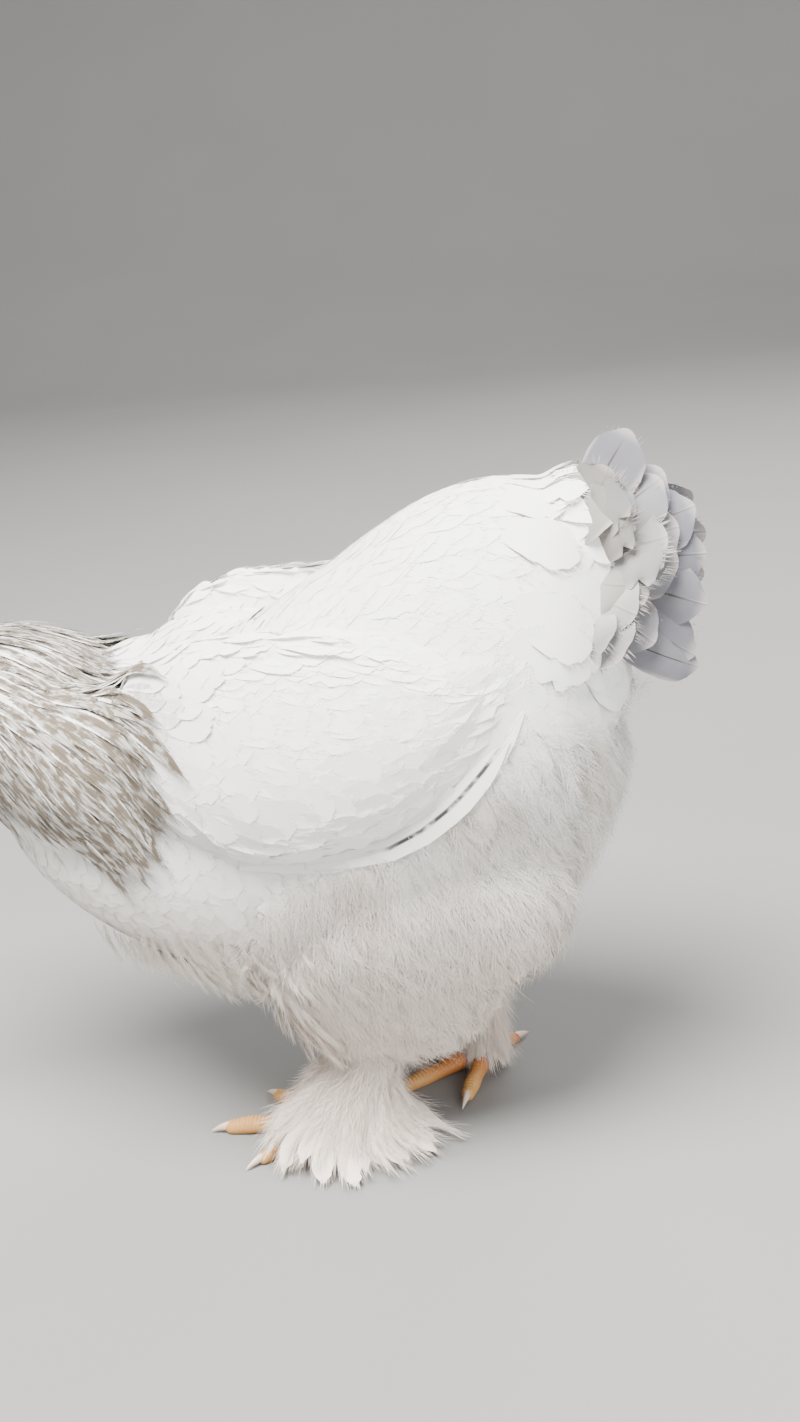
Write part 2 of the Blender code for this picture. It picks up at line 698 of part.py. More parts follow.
# Tail: the fan's middle as x and z, and for each side angle, reach, width and spread of the first and
# last feather of the main tier and of the covert tier
FAN_AT = (0.100, 0.364)
MAIN_TAIL = (5, (58, 0.088, 0.034, 0.006), (-36, 0.098, 0.034, 0.036))
TAIL_COVERTS = (3, (44, 0.062, 0.032, 0.016), (-26, 0.064, 0.032, 0.046))
TAIL_BULGE = 0.002  # how much further the middle of the fan reaches


def add_tail_feathers(tail):
    """Broad feathers fanned on each side of a ridge, with a tier of coverts over their bases."""
    vanes = []
    for side in SIDES.values():
        for tier, (count, first, last) in enumerate((MAIN_TAIL, TAIL_COVERTS)):
            for i in range(count):
                t = i / (count - 1)
                angle, reach, width, spread = np.array([first, last]).T @ (1 - t, t)
                reach += TAIL_BULGE * math.sin(math.pi * t)
                way = np.array([math.cos(math.radians(angle)), 0, math.sin(math.radians(angle))])
                base = np.array([FAN_AT[0], 0, FAN_AT[1]])
                root = base + way * 0.030 + np.array([0, side * (0.003 + 0.55 * spread), 0])
                tip = base + way * reach + np.array([0, side * spread, 0])
                middle = (root + tip) / 2 + np.array([0, side * 0.006, 0])
                lean = math.radians(55 * (1 - t) ** 2 + 5)
                out = np.array([0, side * math.cos(lean), math.sin(lean)])
                line = bend(root, middle, tip, BROAD_SHAPE)
                camber = 0.001 * (1 - tier)
                vanes.append(vane(line, BROAD_SHAPE, width, 0.0, [out] * len(line), None, camber, SHINGLE * side))
    fuse(tail, vanes)


# Shank feathers: root height, vanes, share of the reach, tip height, width
SHANK = [
    (0.028, 8, 1.00, 0.0030, 0.030),
    (0.049, 6, 0.64, 0.0170, 0.030),
]
# Reach over the floor by direction: degrees from the front round the outer side to the back
SHANK_TURNS = (-80, 0, 40, 90, 130, 158, 180, 215)
SHANK_REACH = {
    "left": (0.026, 0.036, 0.054, 0.076, 0.094, 0.106, 0.070, 0.034),
    "right": (0.024, 0.036, 0.054, 0.058, 0.044, 0.030, 0.026, 0.024),
}
SHANK_ROOT = 0.006  # how far from the shank's axis a feather starts
SHANK_FIRST, SHANK_SWEEP = -75, 290  # degrees where the feathers begin, and how far round they go
SHANK_LOW = 0.012  # height of the bare shank's lower end


def shank_axis(name, z):
    """Middle of the shank at a height."""
    (x, y), _ = FEET[name]
    top = SHANK_TOP[name]
    t = np.clip((z - ANKLE_HEIGHT) / (top[2] - ANKLE_HEIGHT), 0, 1)
    return np.array([x + (top[0] - x) * t, y + (top[1] - y) * t, z])


def make_shank(name, toes, neighbours, finish):
    """The shank in a bell of feathers that hang from the hock and spread over the floor outside the toes."""
    side = SIDES[name]
    heights = np.linspace(SHANK_TOP[name][2], SHANK_LOW, 8)
    path = [shank_axis(name, z) for z in heights]
    radii = np.interp(heights, (SHANK_LOW, 0.05, 0.09), (0.0085, 0.0115, 0.0115))
    shank = closed_loft("shank_" + name, round_ended(path, radii, 10), finish)
    heading = FEET[name][1]
    settle = kept_above(surface_of(toes), 0.0016)
    vanes = []
    for tier, (height, count, share, low, width) in enumerate(SHANK):
        for i in range(count):
            turn = SHANK_FIRST + SHANK_SWEEP * (i + 0.5 * (tier % 2)) / count
            reach = share * np.interp(turn, SHANK_TURNS, SHANK_REACH[name])
            way = heading - side * math.radians(turn)
            flat = np.array([math.cos(way), math.sin(way), 0])
            root = shank_axis(name, height) + flat * SHANK_ROOT
            tip = np.array([*shank_axis(name, ANKLE_HEIGHT)[:2], low]) + flat * reach
            middle = root + flat * (0.012 + 0.16 * reach) + np.array([0, 0, -0.20 * height])
            line = bend(root, middle, tip, SHANK_SHAPE)
            along = np.gradient(np.array(line), axis=0)
            outward = [np.cross(np.cross(a, (0, 0, 1)), a) for a in along]
            outward = [o / np.linalg.norm(o) for o in outward]
            vanes.append(vane(line, SHANK_SHAPE, width, 0.0, outward, settle, roll=0.0013))
    fuse(shank, vanes)
    make_room(shank, [*neighbours, *toes])
    return shank


# Ragged fringe under the breast: x of the first and last feather, vanes, length, width
FRINGE = (-0.212, -0.125, 5, 0.040, 0.018)


def add_fringe(torso):
    settle = laid_on(surface_of([torso]))
    first, last, count, length, width = FRINGE
    vanes = []
    for i in range(count):
        x = first + (last - first) * i / (count - 1)
        turn = math.radians(-90 + 26 * ((i * 2) % 5 - 2) / 2)
        out = np.array([-0.25, math.cos(turn), math.sin(turn)])
        out /= np.linalg.norm(out)
        line = []
        for t, _ in LOCK_SHAPE:
            guess = np.array([x + length * t, 0, 0.2]) + out * 0.1
            line.append(settle(guess, out) + np.array([0, 0, -0.006 * t * t]))
        vanes.append(vane(line, LOCK_SHAPE, width, 0.0014 + 0.0008 * (i % 2), [out] * len(line), None))
    fuse(torso, vanes)


def move_origin():
    """Puts the world's origin on the floor under the middle of the hen."""
    for obj in bpy.context.scene.objects:
        for vertex in obj.data.vertices:
            vertex.co -= Vector((ORIGIN_X, ORIGIN_Y, 0))


def make_finishes():
    return {
        "plumage": material("white_plumage", (0.84, 0.83, 0.80), 0.85),
        "tail": material("grey_plumage", (0.66, 0.67, 0.70), 0.75),
        "hackle": material("laced_plumage", (0.62, 0.59, 0.54), 0.8),
        "skin": material("face_skin", (0.58, 0.10, 0.07), 0.55),
        "comb": material("comb_skin", (0.55, 0.05, 0.04), 0.5),
        "bill": material("bill_horn", (0.70, 0.50, 0.25), 0.4),
        "eye": material("eye_amber", (0.35, 0.12, 0.03), 0.1),
        "toe": material("toe_scale", (0.80, 0.45, 0.14), 0.5),
        "claw": material("claw_horn", (0.75, 0.62, 0.48), 0.45),
    }


def main():
    for obj in list(bpy.data.objects):
        bpy.data.objects.remove(obj)
    finishes = make_finishes()
    torso = closed_loft("torso", egg_rings(TORSO, *TORSO_MESH), finishes["plumage"])
    thighs, wings = {}, {}
    for name, side in SIDES.items():
        back = RIGHT_THIGH_BACK if name == "right" else 0
        thighs[name] = closed_loft("thigh_" + name, thigh_rings(side, back, *THIGH_MESH), finishes["plumage"])
        wings[name] = closed_loft("wing_" + name, wing_rings(side, *WING_MESH), finishes["plumage"])
        make_room(thighs[name], [torso])
        make_room(wings[name], [torso, thighs[name]])
    head = make_head(finishes)
    make_comb(head, finishes["comb"])
    make_wattles(head, finishes["comb"])
    neck = closed_loft("neck", egg_rings(NECK, *NECK_MESH), finishes["hackle"])
    make_room(neck, [torso, head])
    tail = closed_loft("tail", egg_rings(TAIL, *TAIL_MESH), finishes["tail"])
    make_room(tail, [torso])
    add_tail_feathers(tail)
    make_room(tail, [torso])
    for name, side in SIDES.items():
        add_wing_feathers(wings[name], side, [torso, thighs[name]])
    add_hackle(neck, [torso, *wings.values()])
    toes = []
    for name in SIDES:
        toes += make_foot(name, finishes)
    shanks = []
    for name in SIDES:
        shanks.append(make_shank(name, toes, [*thighs.values(), *shanks], finishes["plumage"]))
    add_fringe(torso)
    move_origin()
    for obj in bpy.context.scene.objects:
        obj.data.shade_smooth()


main()
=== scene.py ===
# Light brahma hen, life size, a still model in full plumage. The hen faces -X and its left side is towards
# -Y. Lengths are in metres, and places are measured from a point below the hips, as in the solids.
import math

import bmesh
import bpy
import numpy as np
from mathutils import Matrix, Vector
from mathutils.bvhtree import BVHTree
from mathutils.kdtree import KDTree


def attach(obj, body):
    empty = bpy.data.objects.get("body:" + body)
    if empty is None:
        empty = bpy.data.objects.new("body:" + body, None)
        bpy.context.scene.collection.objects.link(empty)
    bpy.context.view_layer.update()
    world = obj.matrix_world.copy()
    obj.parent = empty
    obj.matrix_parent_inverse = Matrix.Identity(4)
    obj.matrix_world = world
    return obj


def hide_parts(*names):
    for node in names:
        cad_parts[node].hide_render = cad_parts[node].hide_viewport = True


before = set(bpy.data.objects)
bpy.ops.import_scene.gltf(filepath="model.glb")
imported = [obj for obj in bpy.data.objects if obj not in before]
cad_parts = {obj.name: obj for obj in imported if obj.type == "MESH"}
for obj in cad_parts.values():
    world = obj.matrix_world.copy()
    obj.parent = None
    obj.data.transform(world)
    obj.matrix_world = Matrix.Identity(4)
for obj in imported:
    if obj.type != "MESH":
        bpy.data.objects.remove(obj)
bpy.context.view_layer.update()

# Driving sizes, the same as those of the solids
ORIGIN = np.array([-0.105, 0.0, 0.0])
SIDES = {"left": -1, "right": 1}
UP = np.array([0.0, 0.0, 1.0])
COAT_DEPTH = 0.0065  # how far the skin lies inside the outline of the body
FLUFF_DEPTH = 0.011  # and inside that of the thighs
WING_COAT_DEPTH = 0.004  # and inside that of the wings
# Torso and saddle, from breast to rump: x, top, widest level, bottom, half width
TORSO = [
    (-0.266, 0.234, 0.234, 0.234, 0.000),
    (-0.258, 0.264, 0.228, 0.204, 0.028),
    (-0.241, 0.286, 0.222, 0.176, 0.049),
    (-0.208, 0.300, 0.215, 0.144, 0.073),
    (-0.160, 0.311, 0.213, 0.118, 0.093),
    (-0.100, 0.335, 0.218, 0.101, 0.104),
    (-0.040, 0.372, 0.227, 0.098, 0.107),
    (0.020, 0.408, 0.241, 0.109, 0.108),
    (0.065, 0.420, 0.260, 0.128, 0.103),
    (0.100, 0.412, 0.280, 0.160, 0.089),
    (0.124, 0.382, 0.290, 0.200, 0.063),
    (0.138, 0.335, 0.295, 0.250, 0.033),
    (0.142, 0.295, 0.295, 0.295, 0.000),
]
# Neck under its hackle, from the nape to the shoulders: same columns
NECK = [
    (-0.352, 0.300, 0.300, 0.300, 0.000),
    (-0.347, 0.316, 0.301, 0.284, 0.013),
    (-0.325, 0.326, 0.301, 0.270, 0.022),
    (-0.300, 0.334, 0.298, 0.251, 0.032),
    (-0.270, 0.339, 0.289, 0.227, 0.047),
    (-0.235, 0.336, 0.278, 0.196, 0.068),
    (-0.210, 0.322, 0.270, 0.182, 0.080),
    (-0.192, 0.306, 0.270, 0.186, 0.084),
    (-0.180, 0.300, 0.276, 0.225, 0.060),
    (-0.175, 0.284, 0.284, 0.284, 0.000),
]
# Folded wing: x, outward distance, mid height, half height, half thickness
WING = [
    (-0.168, 0.078, 0.292, 0.000, 0.000),
    (-0.150, 0.080, 0.296, 0.038, 0.012),
    (-0.118, 0.086, 0.292, 0.060, 0.019),
    (-0.080, 0.091, 0.287, 0.068, 0.025),
    (-0.040, 0.094, 0.289, 0.066, 0.025),
    (0.000, 0.094, 0.293, 0.058, 0.022),
    (0.035, 0.092, 0.301, 0.044, 0.017),
    (0.062, 0.089, 0.311, 0.026, 0.011),
    (0.080, 0.086, 0.318, 0.000, 0.000),
]
WING_LEAN = math.radians(14)  # how far the wing's top leans in
# Root of the tail: x, top, widest level, bottom, half width
TAIL = [
    (0.088, 0.375, 0.375, 0.375, 0.000),
    (0.094, 0.404, 0.372, 0.340, 0.026),
    (0.112, 0.413, 0.370, 0.325, 0.036),
    (0.130, 0.409, 0.368, 0.322, 0.034),
    (0.144, 0.392, 0.366, 0.334, 0.024),
    (0.151, 0.366, 0.366, 0.366, 0.000),
]
# Thigh, from hip to hock: z, x, outward distance, half length, half width
THIGH = [
    (0.262, 0.010, 0.060, 0.000, 0.000),
    (0.250, 0.010, 0.060, 0.045, 0.024),
    (0.215, 0.012, 0.064, 0.085, 0.040),
    (0.175, 0.010, 0.065, 0.100, 0.046),
    (0.140, 0.000, 0.062, 0.094, 0.048),
    (0.112, -0.014, 0.058, 0.076, 0.046),
    (0.090, -0.018, 0.054, 0.065, 0.043),
    (0.072, -0.023, 0.050, 0.054, 0.036),
    (0.058, -0.027, 0.048, 0.036, 0.026),
    (0.051, -0.028, 0.047, 0.020, 0.016),
    (0.049, -0.028, 0.047, 0.000, 0.000),
]
RIGHT_THIGH_BACK = 0.016  # how much farther back the right hock lies
ANKLE_HEIGHT = 0.016
# Upper end of each shank: x, y, z
SHANK_TOP = {"left": (-0.022, -0.050, 0.085), "right": (0.030, 0.048, 0.085)}
FEET = {  # where the toes meet, and the way the middle toe points from +X
    "left": ((-0.068, -0.047), math.radians(182)),
    "right": ((0.032, 0.033), math.radians(216)),
}


# Shapes

def smooth(keys, count, power=0.5):
    """The rows of keys joined by a centripetal Catmull-Rom curve and read at count even steps."""
    rows = np.array(keys, float)
    knots = np.concatenate([[0], np.cumsum(np.linalg.norm(np.diff(rows, axis=0), axis=1) ** power)])
    rows = np.vstack([2 * rows[0] - rows[1], rows, 2 * rows[-1] - rows[-2]])
    knots = np.concatenate([[2 * knots[0] - knots[1]], knots, [2 * knots[-1] - knots[-2]]])
    found = []
    for t in np.linspace(knots[1], knots[-2], count):
        i = int(np.clip(np.searchsorted(knots, t, side="right") - 1, 1, len(keys) - 1))
        t0, t1, t2, t3 = knots[i - 1 : i + 3]
        p0, p1, p2, p3 = rows[i - 1 : i + 3]
        a1 = (t1 - t) / (t1 - t0) * p0 + (t - t0) / (t1 - t0) * p1
        a2 = (t2 - t) / (t2 - t1) * p1 + (t - t1) / (t2 - t1) * p2
        a3 = (t3 - t) / (t3 - t2) * p2 + (t - t2) / (t3 - t2) * p3
        b1 = (t2 - t) / (t2 - t0) * a1 + (t - t0) / (t2 - t0) * a2
        b2 = (t3 - t) / (t3 - t1) * a2 + (t - t1) / (t3 - t1) * a3
        found.append((t2 - t) / (t2 - t1) * b1 + (t - t1) / (t2 - t1) * b2)
    return np.array(found)


def unit(vectors):
    return vectors / np.maximum(np.linalg.norm(vectors, axis=-1, keepdims=True), 1e-9)


def rise_between(value, low, high):
    """0 under low, 1 over high, and smooth between."""
    t = np.clip((np.asarray(value, float) - low) / (high - low), 0, 1)
    return t * t * (3 - 2 * t)


def loft(rings):
    """(points, faces) of a closed body through rings, whose first and last rings are single points."""
    rings = np.asarray(rings, float)
    count, sides = len(rings) - 2, rings.shape[1]
    points = np.vstack([rings[1:-1].reshape(-1, 3), rings[0].mean(axis=0), rings[-1].mean(axis=0)])
    first, last = count * sides, count * sides + 1
    faces = []
    for i in range(count - 1):
        for j in range(sides):
            k = (j + 1) % sides
            faces.append((i * sides + j, i * sides + k, (i + 1) * sides + k, (i + 1) * sides + j))
    for j in range(sides):
        k = (j + 1) % sides
        faces.append((k, j, first))
        faces.append(((count - 1) * sides + j, (count - 1) * sides + k, last))
    return points, faces


def egg_rings(keys, count, sides, inset=0.0, fullness=0.92):
    around = np.linspace(0, 2 * math.pi, sides, endpoint=False)
    across = np.sign(np.cos(around)) * np.abs(np.cos(around)) ** fullness
    rise = np.sign(np.sin(around)) * np.abs(np.sin(around)) ** fullness
    rings = []
    for x, top, widest, bottom, half in smooth(keys, count):
        over = max(top - widest - inset, 0)
        under = max(widest - bottom - inset, 0)
        z = widest + np.where(rise > 0, over * rise, under * rise)
        rings.append(np.stack([np.full(sides, x), max(half - inset, 0) * across, z], axis=1))
    return rings


def wing_rings(side, count, sides, inset=0.0):
    around = np.linspace(0, 2 * math.pi, sides, endpoint=False)
    rings = []
    for x, out, level, half_height, half_thick in smooth(WING, count):
        y = half_thick * np.cos(around) - inset
        z = max(half_height - inset, 0) * np.sin(around)
        turned_y = y * math.cos(WING_LEAN) - z * math.sin(WING_LEAN)
        turned_z = z * math.cos(WING_LEAN) + y * math.sin(WING_LEAN)
        rings.append(np.stack([np.full(sides, x), side * (out + turned_y), level + turned_z], axis=1))
    return rings


def thigh_rings(side, back, count, sides, inset=0.0):
    around = np.linspace(0, 2 * math.pi, sides, endpoint=False)
    rings = []
    for z, x, out, half_length, half_width in smooth(THIGH, count):
        shift = back * np.clip((THIGH[1][0] - z) / (THIGH[1][0] - THIGH[-1][0]), 0, 1)
        along = max(half_length - inset, 0.001) * np.cos(around)
        aside = max(half_width - inset, 0.001) * np.sin(around)
        rings.append(np.stack([x + shift + along, side * (out + aside), np.full(sides, z)], axis=1))
    return rings


def tube_rings(path, radii, sides, flat=1.0):
    """Rings round a path; flat under 1 narrows them sideways."""
    path = np.asarray(path, float)
    steps = np.gradient(path, axis=0)
    side = np.cross(steps[0], (0, 0, 1))
    rings = []
    for point, step, radius in zip(path, steps, radii):
        forward = step / np.linalg.norm(step)
        side = side - forward * (side @ forward)
        side = side / np.linalg.norm(side)
        up = np.cross(side, forward)
        around = np.linspace(0, 2 * math.pi, sides, endpoint=False)[:, None]
        rings.append(point + radius * (np.cos(around) * side * flat + np.sin(around) * up))
    return rings


def rounded_tube(path, radii, sides, flat=1.0):
    """Rings of a tube whose ends are rounded off to points."""
    path, radii = np.asarray(path, float), np.asarray(radii, float)
    start, end = unit(path[0] - path[1]), unit(path[-1] - path[-2])
    spots, sizes = list(path), list(radii)
    for share, size in ((0.45, 0.90), (0.80, 0.60)):
        spots = [path[0] + start * radii[0] * share, *spots, path[-1] + end * radii[-1] * share]
        sizes = [radii[0] * size, *sizes, radii[-1] * size]
    rings = tube_rings(spots, sizes, sides, flat)
    first = np.repeat((path[0] + start * radii[0])[None], sides, axis=0)
    last = np.repeat((path[-1] + end * radii[-1])[None], sides, axis=0)
    return [first, *rings, last]


def globe(centre, radii, rows=14, sides=20, turn=0.0):
    """(points, faces) of an ellipsoid, turned about Y."""
    around = np.linspace(0, 2 * math.pi, sides, endpoint=False)
    rings = []
    for lat in np.linspace(-math.pi / 2, math.pi / 2, rows):
        x = math.cos(lat) * np.cos(around) * radii[0]
        y = math.cos(lat) * np.sin(around) * radii[1]
        z = np.full(sides, math.sin(lat) * radii[2])
        turned_x = centre[0] + x * math.cos(turn) + z * math.sin(turn)
        turned_z = centre[2] - x * math.sin(turn) + z * math.cos(turn)
        rings.append(np.stack([turned_x, centre[1] + y, turned_z], axis=1))
    return loft(rings)


def joined(shapes):
    """Several (points, faces) as one."""
    points, faces, start = [], [], 0
    for some_points, some_faces in shapes:
        points.append(np.asarray(some_points, float))
        faces += [tuple(start + i for i in face) for face in some_faces]
        start += len(some_points)
    return np.vstack(points), faces


def closed_mesh(name, points, faces):
    """A mesh whose faces point outwards."""
    mesh = bpy.data.meshes.new(name)
    mesh.from_pydata([tuple(p) for p in points], [], faces)
    work = bmesh.new()
    work.from_mesh(mesh)
    bmesh.ops.recalc_face_normals(work, faces=work.faces)
    work.to_mesh(mesh)
    work.free()
    return mesh


def in_scene(name, content):
    """A new object of the scene, with this mesh, lens or lamp."""
    made = bpy.data.objects.new(name, content)
    bpy.context.scene.collection.objects.link(made)
    return made


def worked_out(made):
    """The mesh of an object after its modifiers. The object goes."""
    bpy.context.view_layer.update()
    result = bpy.data.meshes.new_from_object(made.evaluated_get(bpy.context.evaluated_depsgraph_get()))
    bpy.data.objects.remove(made)
    return result


def melted(name, shapes, voxel, rounds, factor=0.5):
    """One closed mesh round several overlapping shapes, with its creases smoothed."""
    made = in_scene(name, closed_mesh(name, *joined(shapes)))
    remesh = made.modifiers.new("melt", "REMESH")
    remesh.mode = "VOXEL"
    remesh.voxel_size = voxel
    soften = made.modifiers.new("soften", "SMOOTH")
    soften.factor = factor
    soften.iterations = rounds
    return worked_out(made)


def points_of(mesh):
    found = np.empty(len(mesh.vertices) * 3, np.float32)
    mesh.vertices.foreach_get("co", found)
    return found.reshape(-1, 3).astype(float)


def faces_of(mesh):
    return [tuple(face.vertices) for face in mesh.polygons]


def normals_of(mesh):
    found = np.empty(len(mesh.vertices) * 3, np.float32)
    mesh.vertices.foreach_get("normal", found)
    return found.reshape(-1, 3)


def place_points(mesh, points, lowest=None):
    """Moves the points of a mesh, none of them under the lowest height."""
    if lowest is not None:
        points[:, 2] = np.maximum(points[:, 2], lowest)
    mesh.vertices.foreach_set("co", np.asarray(points, np.float32).ravel())
    mesh.update()


def write_trait(mesh, trait, values):
    made = mesh.attributes.new(trait, "FLOAT", "POINT")
    made.data.foreach_set("value", np.asarray(values, np.float32))


def set_piece(name, mesh, look, replaced=()):
    """Puts a finished mesh in place as a piece that rides on the body."""
    finish, slot = LOOKS[look]
    place_points(mesh, points_of(mesh) - ORIGIN)
    mesh.materials.clear()
    mesh.materials.append(finish)
    mesh.shade_smooth()
    piece = in_scene(name, mesh)
    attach(piece, "root")
    if replaced:
        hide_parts(*replaced)


# Finishes

class Recipe:
    """The nodes of one finish, made with short calls."""

    def __init__(self, name, roughness, **sockets):
        self.material = bpy.data.materials.new(name)
        self.material.use_nodes = True
        self.tree = self.material.node_tree
        self.shader = self.tree.nodes["Principled BSDF"]
        self.shader.inputs["Roughness"].default_value = roughness
        for socket, value in sockets.items():
            self.shader.inputs[socket.replace("_", " ")].default_value = value

    def feed(self, socket, value):
        if isinstance(value, bpy.types.NodeSocket):
            self.tree.links.new(value, socket)
        elif isinstance(value, tuple) and len(value) == 3 and socket.type == "RGBA":
            socket.default_value = (*value, 1)
        else:
            socket.default_value = value

    def maths(self, operation, first, second=0.0):
        node = self.tree.nodes.new("ShaderNodeMath")
        node.operation = operation
        self.feed(node.inputs[0], first)
        self.feed(node.inputs[1], second)
        return node.outputs[0]

    def times(self, first, second):
        return self.maths("MULTIPLY", first, second)

    def between(self, value, low, high, start=0.0, end=1.0):
        """start under low, end over high, and smooth between."""
        node = self.tree.nodes.new("ShaderNodeMapRange")
        node.interpolation_type = "SMOOTHSTEP"
        given = {"Value": value, "From Min": low, "From Max": high, "To Min": start, "To Max": end}
        for socket, content in given.items():
            self.feed(node.inputs[socket], content)
        return node.outputs[0]

    def mix(self, share, first, second):
        node = self.tree.nodes.new("ShaderNodeMix")
        node.data_type = "RGBA"
        self.feed(node.inputs["Factor"], share)
        self.feed(node.inputs[6], first)
        self.feed(node.inputs[7], second)
        return node.outputs[2]

    def place(self):
        return self.tree.nodes.new("ShaderNodeTexCoord").outputs["Object"]

    def noise(self, scale, detail=3.0, place=None):
        node = self.tree.nodes.new("ShaderNodeTexNoise")
        self.feed(node.inputs["Vector"], place or self.place())
        node.inputs["Scale"].default_value = scale
        node.inputs["Detail"].default_value = detail
        return node.outputs["Fac"]

    def cells(self, scale):
        node = self.tree.nodes.new("ShaderNodeTexVoronoi")
        self.feed(node.inputs["Vector"], self.place())
        node.inputs["Scale"].default_value = scale
        return node.outputs["Distance"]

    def value_of(self, name):
        node = self.tree.nodes.new("ShaderNodeAttribute")
        node.attribute_name = name
        return node.outputs["Fac"]

    def split(self, vector):
        node = self.tree.nodes.new("ShaderNodeSeparateXYZ")
        self.feed(node.inputs[0], vector)
        return node.outputs

    def vector(self, x, y, z):
        node = self.tree.nodes.new("ShaderNodeCombineXYZ")
        for i, given in enumerate((x, y, z)):
            self.feed(node.inputs[i], given)
        return node.outputs[0]

    def done(self, colour, bumps=()):
        self.feed(self.shader.inputs["Base Color"], colour)
        normal = None
        for height, strength, distance in bumps:
            node = self.tree.nodes.new("ShaderNodeBump")
            node.inputs["Strength"].default_value = strength
            node.inputs["Distance"].default_value = distance
            self.feed(node.inputs["Height"], height)
            if normal:
                self.feed(node.inputs["Normal"], normal)
            normal = node.outputs[0]
        if normal:
            self.feed(self.shader.inputs["Normal"], normal)
        return self.material


# Colours of the coat
WHITE = (0.92, 0.915, 0.895)
CREAM = (0.87, 0.845, 0.79)
COAT_SHADE = (0.89, 0.88, 0.855)
# Root colours, here and for the fluff: partly the feathers' grey undercolour, partly painted shade under the
# feathers that overlap them
COAT_ROOT_AND_SHADE = (0.84, 0.825, 0.79)
FLUFF_WHITE = (0.93, 0.925, 0.91)
FLUFF_SHADE = (0.90, 0.89, 0.87)
FLUFF_ROOT_AND_SHADE = (0.85, 0.84, 0.815)
UNDERCOLOUR = (0.66, 0.59, 0.52)
# Painted shade: the lower body is drawn warmer and darker, as if less of the light from above reached it
PAINTED_LOW_SHADE = (0.83, 0.745, 0.66)
PAINTED_SHADE_HEIGHTS = (0.07, 0.29)  # painted shade, warm, of the lower body: full under the first height, and gone over the second
DUN = (0.060, 0.045, 0.031)
PALE_DUN = (0.142, 0.114, 0.084)
LAVENDER = (0.140, 0.142, 0.162)
PALE_LAVENDER = (0.200, 0.195, 0.211)
DEEP_LAVENDER = (0.110, 0.110, 0.135)
DULL_WHITE = (0.36, 0.35, 0.33)
OLD_IVORY = (0.22, 0.205, 0.185)
WORN_RIM = (0.44, 0.385, 0.35)
SLATE = (0.045, 0.042, 0.045)
# Colours of skin, horn and eyes
DUSKY_SKIN = (0.62, 0.58, 0.54)
FACE_RED = (0.36, 0.022, 0.016)
FACE_PINK = (0.50, 0.075, 0.050)
FACE_PITS = (0.24, 0.014, 0.012)
COMB_RED = (0.34, 0.012, 0.010)
COMB_PINK = (0.46, 0.042, 0.028)
COMB_PITS = (0.22, 0.008, 0.008)
HORN = (0.50, 0.29, 0.075)
PALE_HORN = (0.62, 0.42, 0.16)
DARK_HORN = (0.20, 0.12, 0.06)
SCALE_ORANGE = (0.54, 0.25, 0.065)
SCALE_YELLOW = (0.64, 0.38, 0.14)
# Painted shade of the far (right) foot
SHADED_FOOT_ORANGE = (0.44, 0.125, 0.022)
GRIME = (0.36, 0.21, 0.10)
CLAW_PINK = (0.66, 0.46, 0.36)
CLAW_CREAM = (0.80, 0.66, 0.52)
IRIS_BROWN = (0.22, 0.050, 0.010)
IRIS_BAY = (0.44, 0.14, 0.025)
IRIS_RIM = (0.10, 0.03, 0.015)
PUPIL = (0.004, 0.004, 0.004)
# How far red, green and blue light soak in
FEATHER_SOAK = (1.0, 0.97, 0.93)
FACE_SOAK = (1.0, 0.35, 0.2)
COMB_SOAK = (1.0, 0.3, 0.2)


def feather_across(recipe):
    """Distance from the shaft and from the root, with the shaft in the middle of the map."""
    node = recipe.tree.nodes.new("ShaderNodeUVMap")
    node.uv_map = "Feather"
    u, v, _ = recipe.split(node.outputs[0])
    aside = recipe.maths("SUBTRACT", recipe.times(u, 2.0), 1.0)
    return recipe.maths("ABSOLUTE", aside), v, aside


def barb_lines(recipe, across, along, count, slant):
    """Fine ridges that leave the shaft and slant to the tip."""
    run = recipe.maths("SUBTRACT", recipe.times(along, count), recipe.times(across, slant))
    wave = recipe.maths("SINE", recipe.times(run, 2 * math.pi))
    return recipe.maths("MULTIPLY_ADD", wave, 0.5)


def plumage_finish(name, pale, deep, root, lines=26.0, roughness=0.75, through=0.0):
    """Plain white feathers: a little tone from one to the next, roots duller from their grey undercolour
    and from painted shade under the feathers that overlap them, a faint shaft and barbs, and painted warm
    shade low on the body.
    Through is how much light soaks into them."""
    recipe = Recipe(name, roughness, Sheen_Weight=0.2, Sheen_Roughness=0.5, Specular_IOR_Level=0.2,
                    Subsurface_Weight=through, Subsurface_Scale=0.003)
    recipe.shader.inputs["Subsurface Radius"].default_value = FEATHER_SOAK
    across, along, _ = feather_across(recipe)
    colour = recipe.mix(recipe.value_of("tone"), pale, deep)
    # The roots go duller: partly the grey undercolour, partly painted shade under the overlapping feathers
    colour = recipe.mix(recipe.between(along, 0.0, 0.5, 0.6, 0.0), colour, root)
    lines_at = barb_lines(recipe, across, along, lines, 5.0)
    colour = recipe.mix(recipe.times(lines_at, 0.05), colour, root)
    colour = recipe.mix(recipe.between(across, 0.02, 0.07, 0.30, 0.0), colour, CREAM)
    cloud = recipe.noise(14.0, 3.0)
    colour = recipe.mix(recipe.between(cloud, 0.42, 0.72, 0.0, 0.35), colour, CREAM)
    if through:
        clump = recipe.noise(24.0, 4.0)
        colour = recipe.mix(recipe.between(clump, 0.48, 0.66, 0.0, 0.55), colour, UNDERCOLOUR)
    # Painted shade: the lower the place, the more the colour goes to a warm, darker shade
    height = recipe.split(recipe.place())[2]
    colour = recipe.mix(recipe.between(height, *PAINTED_SHADE_HEIGHTS, 1.0, 0.0), colour, PAINTED_LOW_SHADE)
    return recipe.done(colour, [(lines_at, 0.18, 0.0003)])


